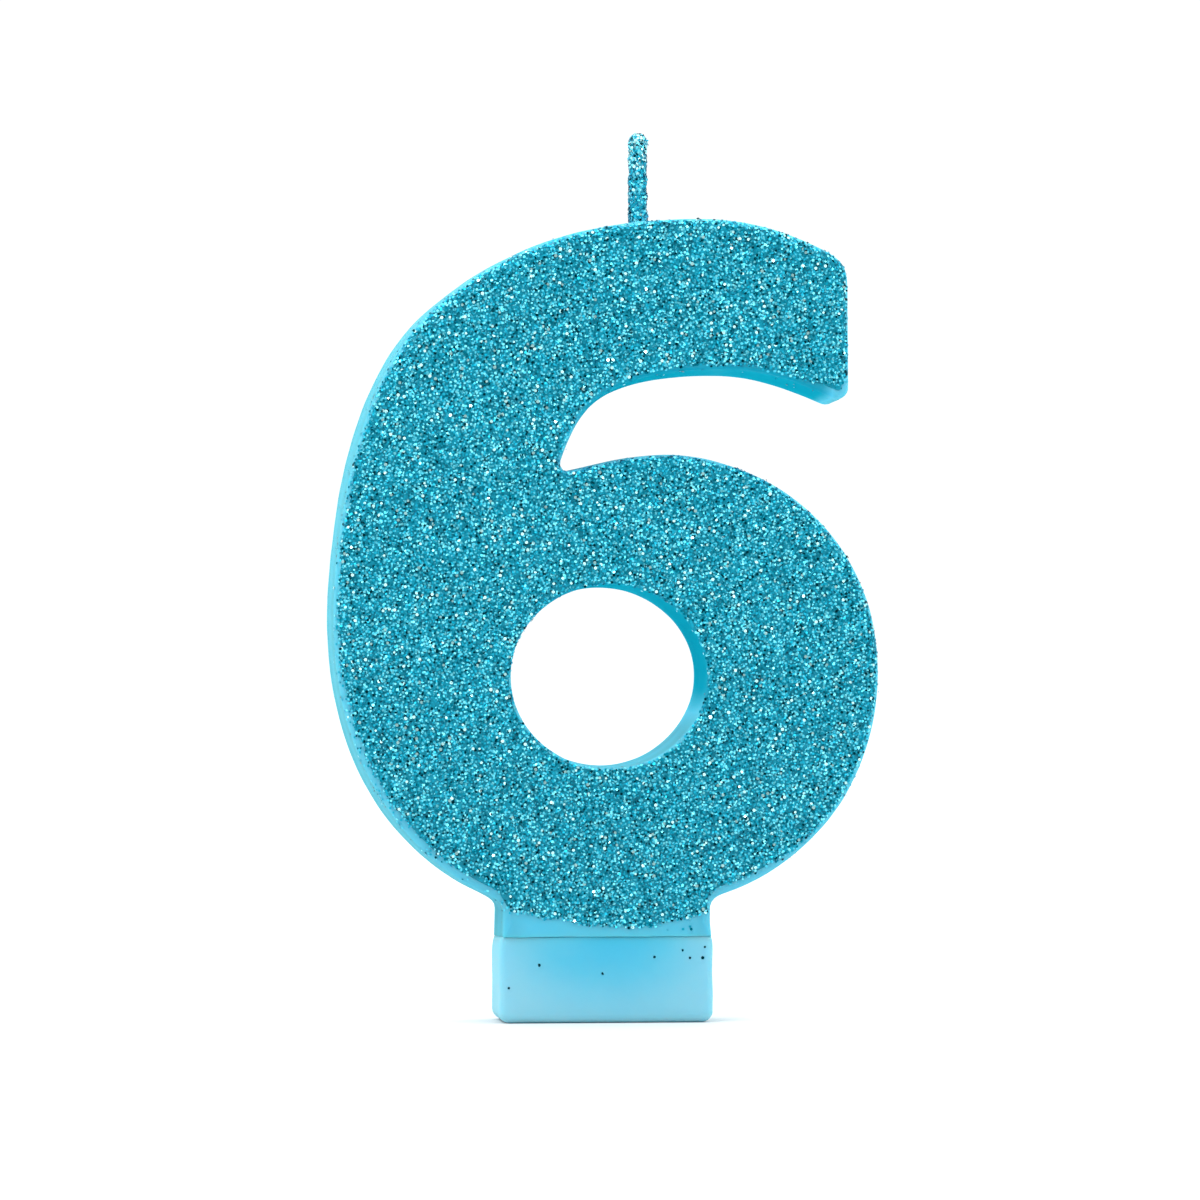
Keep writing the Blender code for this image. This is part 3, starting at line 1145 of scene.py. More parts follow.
@dataclass
class CastNumeral:
    """The wax numeral, with the tongue that keys it into the foot and the bore that holds the wick."""

    effects: Effects
    outline: Outline = field(default_factory=Outline)
    finish: WaxFinish = WaxFinish("numeral_wax")
    shade: WaxDepthAndShade = WaxDepthAndShade()
    edge_steps: int = 8
    wall_steps: int = 12
    back_steps: int = 5
    front_spacing: float = 1.1 * MM
    back_spacing: float = 0.75 * MM
    tongue_width: float = 11.0 * MM
    tongue_depth: float = 3.0 * MM
    tongue_bottom: float = 5.3 * MM
    tongue_overlap: float = 1.5 * MM
    tongue_edge: float = 0.3 * MM
    bore_radius: float = 0.85 * MM
    bore_bottom: float = 62.4 * MM
    bore_top: float = 76.0 * MM
    bore_sides: int = 32
    bore_x: float = 3.25 * MM
    section: CastSection = field(init=False)
    edges: EdgeField = field(init=False)

    def __post_init__(self) -> None:
        """Reads the places of the front and back from the CAD."""
        low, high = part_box("wax_numeral")
        self.section = CastSection(front_y=low.y, back_y=high.y)
        self.edges = EdgeField([self.outline.outer(), self.outline.hole()])

    @property
    def middle_y(self) -> float:
        """Half way through the wax."""
        return (self.section.front_y + self.section.back_y) / 2

    def stations(self, number: int, loop: Array) -> list[tuple[Array, Array]]:
        """Places (y, inset) of the rings from the flat front, round the wall, to the flat back.

        Args:
            number: 0 for the outer edge and 1 for the hole.
            loop: its points (x, z).

        Returns:
            One pair per ring, with a number for each point in both.
        """
        cut = self.section
        radius = cut.radius_round(number, loop, self.outline.neck_bottom_mm * MM)
        turns = np.linspace(0.0, math.pi / 2, self.edge_steps + 1)
        front = [
            (cut.front_y + radius * (1 - math.cos(t)), cut.draft + radius * (1 - math.sin(t))) for t in turns
        ]
        wall_top = cut.front_y + radius
        wall_end = cut.back_y - cut.back_radius
        shares = np.linspace(0.0, 1.0, self.wall_steps + 1)[1:-1]
        same = np.ones(len(loop))
        wall = [(wall_top + s * (wall_end - wall_top), same * cut.draft * (1 - s)) for s in shares]
        turns = np.linspace(0.0, math.pi / 2, self.back_steps + 1)
        back = [
            (same * (wall_end + cut.back_radius * math.sin(t)), same * cut.back_radius * (1 - math.cos(t)))
            for t in turns
        ]
        return front + wall + back

    def casting(self) -> Piece:
        """Sweeps the outline through the section and fills the front and the back.

        Returns:
            The casting.
        """
        draft = MeshDraft()
        front_rings = []
        back_rings = []
        front_loops = []
        back_loops = []
        for number, loop in enumerate((self.outline.outer(), self.outline.hole())):
            inward = inward_normals(loop)
            stations = self.stations(number, loop)
            rings = [draft.add(in_depth(loop + inward * inset[:, None], y)) for y, inset in stations]
            for ring, next_ring in zip(rings, rings[1:]):
                draft.bridge(ring, next_ring, len(loop))
            front_rings.append((rings[0], len(loop)))
            back_rings.append((rings[-1], len(loop)))
            front_loops.append(loop + inward * stations[0][1][:, None])
            back_loops.append(loop + inward * stations[-1][1][:, None])
        front = filled_region(front_loops, self.front_spacing, EdgeField(front_loops))
        draft.fill(front, front_rings, self.flat_front)
        back = filled_region(back_loops, self.back_spacing, EdgeField(back_loops))
        draft.fill(back, back_rings, self.sunk_back)
        return draft.piece("numeral_wax_casting", [self.finish.material(self.effects)])

    def flat_front(self, inner: Array) -> Array:
        """The y of the front at points (x, z) inside its edge."""
        return np.full(len(inner), self.section.front_y)

    def sunk_back(self, inner: Array) -> Array:
        """The y of the back at points (x, z) inside its edge."""
        return self.section.back(self.edges.measure(inner)[0], inner)

    def tongue(self) -> Piece:
        """The tongue under the neck.

        Returns:
            A closed mesh to join to the casting.
        """
        middle = (self.outline.neck_left_mm + self.outline.neck_right_mm) / 2 * MM
        half = Vector((self.tongue_width / 2, self.tongue_depth / 2, 0.0))
        low = Vector((middle, self.middle_y, self.tongue_bottom)) - half
        high = Vector((middle, self.middle_y, self.outline.neck_bottom_mm * MM + self.tongue_overlap)) + half
        return soft_box("tongue", low, high, self.tongue_edge)

    def bore(self) -> Piece:
        """The bore for the wick, which opens at the top of the arm.

        Returns:
            A closed mesh to cut from the casting.
        """
        draft = MeshDraft()
        sides = self.bore_sides
        turn = np.linspace(0.0, 2 * math.pi, sides, endpoint=False)
        x = self.bore_x + self.bore_radius * np.cos(turn)
        y = self.middle_y + self.bore_radius * np.sin(turn)
        heights = (self.bore_bottom, self.bore_top)
        rings = [draft.add(np.column_stack([x, y, np.full(sides, z)])) for z in heights]
        draft.bridge(rings[0], rings[1], sides)
        for ring, z in zip(rings, heights):
            draft.cap(ring, sides, (self.bore_x, self.middle_y, z))
        return draft.piece("bore", [])

    def build(self) -> Piece:
        """Builds and dresses the numeral.

        Returns:
            The piece.
        """
        numeral = self.casting()
        swell(numeral, [(SoftNoise(13.0 * MM, 11), 0.035 * MM), (SoftNoise(3.5 * MM, 12), 0.010 * MM)])
        combine(numeral, self.tongue(), "UNION")
        combine(numeral, self.bore(), "DIFFERENCE")
        # The mask carries how thick the wax is and where shade is painted under the arm and in the hole.
        shade = self.shade.depth(vertex_positions(numeral), self.edges, self.section)
        store_mask(numeral, "wax_depth", shade)
        return settle(numeral, "wax", "wax_numeral")


# ------------------------------------------------------------------------------
# The foot
# ------------------------------------------------------------------------------


@dataclass
class WaxFoot:
    """The block of wax that the numeral stands on, with a slot for the numeral's tongue."""

    effects: Effects
    numeral: CastNumeral
    finish: WaxFinish = WaxFinish(
        "foot_wax",
        deep=(0.034, 0.440, 0.662),
        middle=(0.099, 0.497, 0.673),
        pale=(0.262, 0.575, 0.690),
        gloss=0.60,
        gloss_roughness=0.15,
    )
    bottom_radius: float = 1.05 * MM
    top_radius: float = 0.3 * MM
    top_lean: float = 1.9 * MM
    bottom_edge: float = 1.0 * MM
    side_edge: float = 0.6 * MM
    top_edge: float = 0.05 * MM
    corner_points: int = 10
    edge_steps: int = 8
    wall_steps: int = 9
    spacing: float = 0.45 * MM
    slot_clearance: float = 0.3 * MM
    slot_edge: float = 0.2 * MM
    seam_gap: float = 0.01 * MM
    bow_height: float = 0.10 * MM
    # The colour is deepest under the neck, partly the wax's deeper colour and partly painted shadow of the
    # neck's overhang, and fades over an oval: its reach across and down, and its range.
    shade_across: float = 0.72
    shade_down: float = 0.85
    shade_reach: Span = (0.0, 0.95)
    shade_depths: Span = (0.10, 0.72)
    low: Vector = field(init=False)
    high: Vector = field(init=False)

    def __post_init__(self) -> None:
        """Reads the foot's box from the CAD; its top comes up to a hair under the numeral."""
        self.low, self.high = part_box("wax_foot")
        self.high.z = self.numeral.outline.neck_bottom_mm * MM - self.seam_gap

    def outline(self) -> Array:
        """The front view of the foot, clockwise, with rounded corners.

        Returns:
            Points (x, z).
        """
        corners = (
            (self.low.x, self.low.z, self.bottom_radius, self.bottom_radius, 270),
            (self.low.x, self.high.z, self.top_radius, self.top_lean, 180),
            (self.high.x, self.high.z, self.top_radius, self.top_lean / 2, 90),
            (self.high.x, self.low.z, self.bottom_radius, self.bottom_radius, 0),
        )
        points = []
        for x, z, wide, tall, first in corners:
            centre_x = x + wide if x < 0 else x - wide
            centre_z = z + tall if z < self.high.z / 2 else z - tall
            for turn in np.radians(np.linspace(first, first - 90, self.corner_points)):
                points.append((centre_x + wide * math.cos(turn), centre_z + tall * math.sin(turn)))
        loop = np.array(points)
        spaced = []
        for here, there in zip(loop, np.roll(loop, -1, axis=0)):
            count = max(1, round(np.linalg.norm(there - here) / self.spacing))
            spaced += [here + (there - here) * step / count for step in range(count)]
        return np.array(spaced)

    def edge_radii(self, inward: Array) -> Array:
        """The radius of the front and back edges: tight under the neck and full at the floor.

        Args:
            inward: direction into the wax, one per row.

        Returns:
            One radius for each.
        """
        radii = (self.top_edge, self.side_edge, self.side_edge, self.bottom_edge)
        return np.interp(unit(inward)[:, 1], (-1.0, -0.3, 0.3, 1.0), radii)

    def rings(self, loop: Array, inward: Array) -> list[Array]:
        """The rings of points (x, y, z) from the front face, round the sides, to the back face.

        Args:
            loop: the outline of the foot.
            inward: direction into the wax at each of its points.

        Returns:
            The rings.
        """
        radius = self.edge_radii(inward)
        turns = np.linspace(0.0, math.pi / 2, self.edge_steps + 1)
        front = [(self.low.y + radius * (1 - math.cos(t)), radius * (1 - math.sin(t))) for t in turns]
        shares = np.linspace(0.0, 1.0, self.wall_steps)[1:-1]
        first = self.low.y + radius
        last = self.high.y - radius
        wall = [(first + (last - first) * share, 0 * radius) for share in shares]
        back = [(self.high.y - radius * (1 - math.sin(t)), radius * (1 - math.cos(t))) for t in turns]
        made = []
        for y, inset in front + wall + back:
            made.append(in_depth(loop + inward * inset[:, None], y))
        return made

    def lift_to_neck(self, at: Array) -> Array:
        """Slopes the top so that it follows the drafted underside of the neck.

        Args:
            at: positions, one per row.

        Returns:
            The sloped positions.
        """
        share = smoothstep(self.high.z - 1.2 * MM, self.high.z - 0.1 * MM, at[:, 2])
        towards_front = (self.high.y - at[:, 1]) / (self.high.y - self.low.y)
        lifted = at.copy()
        lifted[:, 2] += share * towards_front * self.numeral.section.draft
        return lifted

    def bow(self, inner: Array) -> Array:
        """How far a face bows out.

        Args:
            inner: points (x, z) inside it.

        Returns:
            The distance at each.
        """
        across = (inner[:, 0] - self.low.x) / (self.high.x - self.low.x)
        up = (inner[:, 1] - self.low.z) / (self.high.z - self.low.z)
        rise = np.clip(16.0 * across * (1 - across) * up * (1 - up), 0.0, 1.0)
        return self.bow_height * rise**0.75

    def front_face(self, inner: Array) -> Array:
        """The y of the front at points (x, z) inside its edge."""
        return self.low.y - self.bow(inner)

    def back_face(self, inner: Array) -> Array:
        """The y of the back at points (x, z) inside its edge."""
        return self.high.y + self.bow(inner)

    def off_floor(self, at: Array) -> Array:
        """The share of swelling that each point gets, which leaves the underside flat."""
        return smoothstep(0.3 * MM, 1.5 * MM, at[:, 2])

    def wax_depth(self, at: Array) -> Array:
        """How deep the colour is: deepest under the neck, paler towards the floor and the sides; under the
        neck it is partly painted shadow of the neck's overhang.

        Args:
            at: positions, one per row.

        Returns:
            Numbers between 0 and 1.
        """
        across = 2 * (at[:, 0] - self.low.x) / (self.high.x - self.low.x) - 1
        down = 1 - at[:, 2] / self.high.z
        away = np.sqrt((self.shade_across * across) ** 2 + (self.shade_down * down) ** 2)
        lowest, added = self.shade_depths
        return lowest + added * (1 - smoothstep(*self.shade_reach, away))

    def build(self) -> Piece:
        """Builds and dresses the foot.

        Returns:
            The piece.
        """
        draft = MeshDraft()
        loop = self.outline()
        inward = inward_normals(loop)
        rings = [draft.add(ring) for ring in self.rings(loop, inward)]
        for ring, next_ring in zip(rings, rings[1:]):
            draft.bridge(ring, next_ring, len(loop))
        inner_loop = loop + inward * self.edge_radii(inward)[:, None]
        region = filled_region([inner_loop], self.spacing, EdgeField([inner_loop]))
        draft.fill(region, [(rings[0], len(loop))], self.front_face)
        draft.fill(region, [(rings[-1], len(loop))], self.back_face)
        draft.blocks = [self.lift_to_neck(block) for block in draft.blocks]
        foot = draft.piece("foot_wax_block", [self.finish.material(self.effects)])
        waves = [(SoftNoise(6.0 * MM, 21), 0.03 * MM), (SoftNoise(1.8 * MM, 22), 0.008 * MM)]
        swell(foot, waves, self.off_floor)
        combine(foot, self.slot(), "DIFFERENCE")
        # The mask carries the wax's deeper colour and the painted shadow of the neck's overhang.
        store_mask(foot, "wax_depth", self.wax_depth(vertex_positions(foot)))
        return settle(foot, "wax", "wax_foot")

    def slot(self) -> Piece:
        """The slot for the tongue.

        Returns:
            A closed mesh to cut from the foot.
        """
        middle = (self.numeral.outline.neck_left_mm + self.numeral.outline.neck_right_mm) / 2 * MM
        half_width = self.numeral.tongue_width / 2 + self.slot_clearance
        half_depth = self.numeral.tongue_depth / 2 + self.slot_clearance
        bottom = self.numeral.tongue_bottom - self.slot_clearance
        low = Vector((middle - half_width, self.numeral.middle_y - half_depth, bottom))
        high = Vector((middle + half_width, self.numeral.middle_y + half_depth, self.high.z + MM))
        return soft_box("slot", low, high, self.slot_edge)


# ------------------------------------------------------------------------------
# Glitter flakes
# ------------------------------------------------------------------------------


@dataclass(frozen=True)
class FlakeMix:
    """How common each kind of flake is."""

    dark: float
    deep: float
    mid: float
    pale: float
    frost: float
    flash: float

    def pick(self, draws: Array) -> Array:
        """Turns draws between 0 and 1 into kinds.

        Args:
            draws: one for each flake.

        Returns:
            A Flake value for each.
        """
        shares = np.array([self.mid, self.frost, self.deep, self.pale, self.dark, self.flash])
        kinds = np.array([Flake.MID, Flake.FROST, Flake.DEEP, Flake.PALE, Flake.DARK, Flake.FLASH])
        values = np.array([kind.value for kind in kinds])
        return values[np.searchsorted(np.cumsum(shares / shares.sum())[:-1], draws)]


@dataclass
class FlakeScatter:
    """Where a set of flakes lies and how each one leans."""

    centres: Array
    normals: Array
    kinds: Array
    widths: Array

    def __add__(self, other: "FlakeScatter") -> "FlakeScatter":
        """Puts two sets together.

        Args:
            other: the set to add.

        Returns:
            A set with the flakes of both.
        """
        return FlakeScatter(
            np.vstack([self.centres, other.centres]),
            np.vstack([self.normals, other.normals]),
            np.concatenate([self.kinds, other.kinds]),
            np.concatenate([self.widths, other.widths]),
        )

    def part(self, chosen: Array) -> "FlakeScatter":
        """The chosen flakes only."""
        rows = (self.centres, self.normals, self.kinds, self.widths)
        return FlakeScatter(*(row[chosen] for row in rows))


@dataclass
class FlakePress:
    """Punches hexagonal flakes and lays them as one mesh."""

    effects: Effects
    thickness: float = 0.06 * MM
    wear: float = 0.12
    materials: list[Material] = field(init=False)

    def __post_init__(self) -> None:
        """Makes the material of each kind, in the order of the kinds."""
        self.materials = [finish.material(self.effects) for finish in FLAKE_FINISHES]

    def lean(self, normals: Array, spread: Array, rng: np.random.Generator) -> Array:
        """Tilts normals by chance.

        Args:
            normals: the surface's normals, one per row.
            spread: typical tilt of each in radians.
            rng: the source of chance.

        Returns:
            The flakes' normals.
        """
        push = rng.normal(size=normals.shape)
        push -= normals * np.sum(push * normals, axis=1, keepdims=True)
        return unit(normals + push * np.tan(np.clip(spread, 0.0, 1.2))[:, None])

    def lay(self, name: str, flakes: FlakeScatter, rng: np.random.Generator) -> Piece:
        """Makes the mesh: each flake is a flat hexagon with a shallow point under it, so that it is closed.

        Args:
            name: the piece's name.
            flakes: where they lie.
            rng: the source of chance.

        Returns:
            The object.
        """
        count = len(flakes.centres)
        helper = np.where(np.abs(flakes.normals[:, 2:]) < 0.9, [[0.0, 0.0, 1.0]], [[1.0, 0.0, 0.0]])
        across = unit(np.cross(helper, flakes.normals))
        along = np.cross(flakes.normals, across)
        turn = rng.uniform(0, math.pi / 3, (count, 1)) + np.arange(6) * math.pi / 3
        reach = flakes.widths[:, None] / 2 * (1.0 - self.wear * rng.random((count, 6)))
        rim = (
            flakes.centres[:, None]
            + (reach * np.cos(turn))[:, :, None] * across[:, None]
            + (reach * np.sin(turn))[:, :, None] * along[:, None]
        )
        under = flakes.centres - flakes.normals * self.thickness
        verts = np.concatenate([rim, under[:, None]], axis=1).reshape(-1, 3)
        first = np.arange(count) * 7
        top = first[:, None] + np.arange(6)
        sides = np.stack([top, np.roll(top, 1, axis=1), np.repeat(first[:, None] + 6, 6, axis=1)], axis=2)
        faces = []
        for hexagon, triangles in zip(top.tolist(), sides.tolist()):
            faces.append(hexagon)
            faces += triangles
        piece = new_mesh_object(name, verts, faces, self.materials, False)
        piece.data.polygons.foreach_set("material_index", np.repeat(flakes.kinds, 7).astype(np.int32))
        piece.data.update()
        return piece


# ------------------------------------------------------------------------------
# The glittered front
# ------------------------------------------------------------------------------


@dataclass
class GlitterFront:
    """The film of glue on the front of the numeral, and the flakes pressed into it."""

    effects: Effects
    numeral: CastNumeral
    press: FlakePress
    finish: GlueFinish = GlueFinish()
    # The mixes paint sparkle and shade as flake tints; the lively mix has more near-white and near-black
    # flakes.
    calm_mix: FlakeMix = FlakeMix(dark=0.03, deep=0.17, mid=0.42, pale=0.29, frost=0.085, flash=0.005)
    lively_mix: FlakeMix = FlakeMix(dark=0.11, deep=0.20, mid=0.19, pale=0.24, frost=0.22, flash=0.040)
    cluster_size: float = 1.9 * MM
    film_thickness: float = 0.10 * MM
    film_gap: float = 0.01 * MM
    film_rings: int = 7
    film_spacing: float = 0.8 * MM
    flake_spacing: float = 0.215 * MM
    flake_width: float = 0.275 * MM
    # The glitter's lower edge sags across the neck: its lowest point, its rise, its middle and its spans.
    neck_low: float = 8.75 * MM
    neck_rise: float = 1.8 * MM
    neck_centre: float = 2.0 * MM
    neck_spans: Span = (11.8 * MM, 8.5 * MM)
    neck_side: float = 0.9 * MM
    # Where the film of glue starts and is full, above the glitter's lower edge.
    film_above_neck: Span = (0.20 * MM, 0.65 * MM)
    film_inset: float = 0.12 * MM
    seed: int = 604
    # Width of the bare edge by the direction it faces: degrees from +x towards +z, and millimetres.
    margin_degrees: tuple[float, ...] = (-180, -150, -120, -60, -30, 0, 60, 120, 150, 180)
    margin_mm: tuple[float, ...] = (0.50, 0.85, 1.00, 0.90, 0.60, 0.36, 0.34, 0.34, 0.40, 0.50)
    ceiling_margin: float = 0.65 * MM
    hole_margin: float = 0.30 * MM
    least_margin: float = 0.15 * MM
    # The arm's lower corner has a wider bare edge: spans along x and z, and the width added.
    tip_across: Span = (17.5 * MM, 21.0 * MM)
    tip_down: Span = (60.2 * MM, 58.8 * MM)
    tip_margin: float = 0.50 * MM
    # Shares of single flakes on the bare edge: where it faces left, elsewhere, and right of the neck.
    stray_shares: tuple[float, float, float] = (0.16, 0.03, 0.05)
    steep_share: float = 0.15
    lean_degrees: Span = (13.0, 32.0)
    flash_lift: float = 0.08 * MM
    flash_growth: float = 1.15
    shadow_shift: float = 0.14 * MM
    shadow_drop: float = 0.05 * MM
    # Single flakes on the side walls: how many, how far from the front they fall, and their kinds.
    wall_count: int = 160
    wall_fall: float = 1.6 * MM
    wall_reach: float = 7.0 * MM
    wall_height: float = 7.7 * MM
    wall_mix: FlakeMix = FlakeMix(dark=0.3, deep=0.3, mid=0.2, pale=0.1, frost=0.05, flash=0.05)
    # Pieces by height: each one's name and where it ends.
    bands: tuple[tuple[str, float], ...] = (
        ("glitter_flakes_neck_and_bowl", 21.0 * MM),
        ("glitter_flakes_lower_bowl", 33.0 * MM),
        ("glitter_flakes_upper_bowl", 45.0 * MM),
        ("glitter_flakes_stem", 59.0 * MM),
        ("glitter_flakes_arm", 80.0 * MM),
    )

    def neck_edge(self, x: Array) -> Array:
        """The height at which the glitter ends on the neck.

        Args:
            x: places across the neck.

        Returns:
            The height at each.
        """
        sway = SoftNoise(4.0 * MM, 31).at(x[:, None]) * 0.07 * MM
        away = x - self.neck_centre
        share = np.abs(away) / np.where(away < 0, *self.neck_spans)
        return self.neck_low + self.neck_rise * share**1.5 + sway

    def margin(self, points: Array, outward: Array, loop: Array) -> Array:
        """The width of the bare edge near each point.

        Args:
            points: positions (x, z).
            outward: direction to the nearest edge.
            loop: the loop that the edge is on.

        Returns:
            The width in metres.
        """
        facing = np.degrees(np.arctan2(outward[:, 1], outward[:, 0]))
        width = np.interp(facing, self.margin_degrees, self.margin_mm) * MM
        sway = SoftNoise(4.0 * MM, 32).at(points) * 0.10 * MM
        ceiling = (points[:, 1] > 48.0 * MM) & (outward[:, 1] < -0.5)
        width = np.where(ceiling, self.ceiling_margin, width)
        tip = smoothstep(*self.tip_across, points[:, 0]) * smoothstep(*self.tip_down, points[:, 1])
        width = width + tip * (points[:, 1] > 50 * MM) * self.tip_margin
        width = np.where(loop == 1, self.hole_margin, width)
        return np.maximum(width + sway * np.minimum(1.0, width / (0.5 * MM)), self.least_margin)

    def film_edge(self, number: int) -> tuple[Array, Array]:
        """Where the film starts along one loop, and where it reaches its full thickness.

        Args:
            number: 0 for the outer edge and 1 for the hole.

        Returns:
            Two matching loops of points (x, z).
        """
        loop = self.numeral.edges.loops[number]
        inward = inward_normals(loop)
        bare = self.margin(loop, -unit(inward), np.full(len(loop), number)) + self.film_inset
        full = self.numeral.section.draft + self.numeral.section.front_radii[number] + 0.02 * MM
        start = loop + inward * np.minimum(bare, 0.85 * full)[:, None]
        end = loop + inward * full
        if number == 1:
            return start, end
        above = loop[:, 1] > self.neck_edge(loop[:, 0]) + 0.60 * MM
        start, end = start[above], end[above]
        low_x = start[0, 0] + self.neck_side
        high_x = start[-1, 0]
        corner = full - 0.1 * MM
        across = np.arange(high_x - corner - 0.3 * MM, low_x + corner + 0.3 * MM, -self.film_spacing / 2)
        x_start = np.concatenate([[high_x], across, [low_x]])
        x_end = np.concatenate([[high_x - corner], across, [low_x + corner]])
        first, last = self.film_above_neck
        low = np.column_stack([x_start, self.neck_edge(x_start) + first])
        high = np.column_stack([x_end, self.neck_edge(x_end) + last])
        return np.vstack([start, low]), np.vstack([end, high])

    def skin(self, inner: Array) -> Array:
        """The y of the glue's rippled outside at points (x, z) inside its edge."""
        ripple = SoftNoise(1.7 * MM, 33).at(inner) * 0.015 * MM
        return self.numeral.section.front_y - self.film_thickness + ripple

    def underside(self, inner: Array) -> Array:
        """The y of the glue's inside at points (x, z) inside its edge."""
        return np.full(len(inner), self.numeral.section.front_y - self.film_gap)

    def film(self) -> Piece:
        """Builds the skin of glue: its outside follows the wax, and its edge feathers out.

        Returns:
            The piece.
        """
        draft = MeshDraft()
        cut = self.numeral.section
        outside_rings, inside_rings, deep_loops = [], [], []
        for number in range(2):
            start, end = self.film_edge(number)
            size = len(start)
            outside, inside = [], []
            for share in np.linspace(0.0, 1.0, self.film_rings):
                at = start + (end - start) * share
                y, normal = cut.front(*self.numeral.edges.measure(at))
                rise = self.film_thickness * (0.25 + 0.75 * float(smoothstep(0.0, 0.5, share)))
                outside.append(draft.add(in_depth(at, y) + normal * rise))
                inside.append(draft.add(in_depth(at, y) + normal * self.film_gap))
            for rings in (outside, inside):
                for ring, next_ring in zip(rings, rings[1:]):
                    draft.bridge(ring, next_ring, size)
            draft.bridge(outside[0], inside[0], size)
            outside_rings.append((outside[-1], size))
            inside_rings.append((inside[-1], size))
            deep_loops.append(end)
        region = filled_region(deep_loops, self.film_spacing, EdgeField(deep_loops))
        draft.fill(region, outside_rings, self.skin)
        draft.fill(region, inside_rings, self.underside)
        film = draft.piece("glitter_glue_film", [self.finish.material(self.effects)])
        return settle(film, "glue", "glue_film")

    def scatter(self, rng: np.random.Generator) -> FlakeScatter:
        """Spreads flakes over the glue on a loose grid, thinning out across the bare edge.

        Args:
            rng: the source of chance.

        Returns:
            The flakes.
        """
        starts = self.numeral.edges.starts
        grid, width = loose_grid(starts.min(axis=0), starts.max(axis=0), self.flake_spacing)
        points = grid + rng.normal(scale=0.3 * self.flake_spacing, size=grid.shape)
        row, column = np.divmod(np.arange(len(grid)), width)
        even = row * EVEN_STEPS[0] + column * EVEN_STEPS[1]
        draws = (even + rng.normal(scale=0.05, size=len(grid))) % 1.0
        depth, outward, loop = self.numeral.edges.measure(points)
        bare = self.margin(points, outward, loop)
        covered = smoothstep(-0.16 * MM, 0.10 * MM, depth - bare)
        neck = points[:, 1] - self.neck_edge(points[:, 0])
        covered = np.where(points[:, 1] < 13 * MM, covered * smoothstep(-0.12 * MM, 0.12 * MM, neck), covered)
        at_left, elsewhere, below = self.stray_shares
        stray = np.where(outward[:, 0] < -0.6, at_left, elsewhere)
        stray = stray * (depth > 0.12 * MM) * (neck > -0.25 * MM)
        right_of_neck = smoothstep(1.0 * MM, 9.0 * MM, points[:, 0]) * (neck > -1.1 * MM) * (neck < 0.0)
        stray = np.maximum(stray, below * right_of_neck)
        keep = (depth > 0.08 * MM) & (rng.random(len(points)) < np.maximum(covered, stray))
        in_film = np.minimum(depth - bare, neck)[keep]
        points, depth, outward, loop, draws = (row[keep] for row in (points, depth, outward, loop, draws))
        y, normal = self.numeral.section.front(depth, outward, loop)
        # Clusters of painted sparkle: there the lively mix of bright and dark tints is used.
        clusters = SoftNoise(self.cluster_size, 34, 24).at(points)
        lively = rng.random(len(points)) < smoothstep(-0.5, 0.9, clusters)
        kinds = np.where(lively, self.lively_mix.pick(draws), self.calm_mix.pick(draws))
        flash = kinds == Flake.FLASH.value
        flat_share = 0.3 + 0.7 * smoothstep(0.1 * MM, 0.9 * MM, depth)
        lift = self.film_thickness * (0.3 + 0.7 * smoothstep(0.0, 0.3 * MM, in_film))
        lift += rng.uniform(-0.02, 0.10, len(points)) * MM * flat_share
        lift += np.where(flash, self.flash_lift, 0.0) * flat_share
        usual, steep = self.lean_degrees
        leans = np.where(rng.random(len(points)) < self.steep_share, steep, usual)
        widths = self.flake_width * rng.uniform(0.75, 1.15, len(points))
        widths = np.where(flash, widths * self.flash_growth, widths)
        centres = in_depth(points, y) + normal * lift[:, None]
        leaning = self.press.lean(normal, np.radians(leans) * flat_share, rng)
        flakes = FlakeScatter(centres, leaning, kinds, widths)
        return flakes + self.dark_flakes_as_shadow(flakes.part(flash), rng)

    def dark_flakes_as_shadow(self, flashes: FlakeScatter, rng: np.random.Generator) -> FlakeScatter:
        """Lays a dark flake half under each bright one, as painted shadow beside the sparkle.

        Args:
            flashes: the bright flakes.
            rng: the source of chance.

        Returns:
            The dark flakes.
        """
        count = len(flashes.kinds)
        turn = rng.uniform(0, 2 * math.pi, count)
        aside = np.column_stack([np.cos(turn), np.zeros(count), np.sin(turn)]) * self.shadow_shift
        centres = flashes.centres + aside + np.array([0.0, self.shadow_drop, 0.0])
        kinds = np.full(count, Flake.DARK.value)
        leaning = self.press.lean(flashes.normals, np.full(count, 0.1), rng)
        return FlakeScatter(centres, leaning, kinds, flashes.widths)

    def wall_strays(self, rng: np.random.Generator) -> FlakeScatter:
        """Drops single flakes on the side walls, most of them near the front.

        Args:
            rng: the source of chance.

        Returns:
            The flakes.
        """
        count = self.wall_count
        loop = self.numeral.edges.loops[0]
        inward = inward_normals(loop)
        facing_left = np.where(inward[:, 0] > 0.3, 3.0, 1.0)
        chosen = rng.choice(len(loop), count, p=facing_left / facing_left.sum())
        cut = self.numeral.section
        down = np.minimum(rng.exponential(self.wall_fall, count), self.wall_reach)
        share = down / self.wall_height
        at = loop[chosen] + inward[chosen] * (cut.draft * (1 - share))[:, None]
        outward = -unit(inward[chosen])
        normal = np.column_stack([outward[:, 0], np.zeros(count), outward[:, 1]])
        centres = in_depth(at, cut.front_y + cut.front_radii[0] + down) + normal * 0.02 * MM
        widths = self.flake_width * rng.uniform(0.6, 1.0, count)
        leaning = self.press.lean(normal, np.full(count, 0.12), rng)
        return FlakeScatter(centres, leaning, self.wall_mix.pick(rng.random(count)), widths)

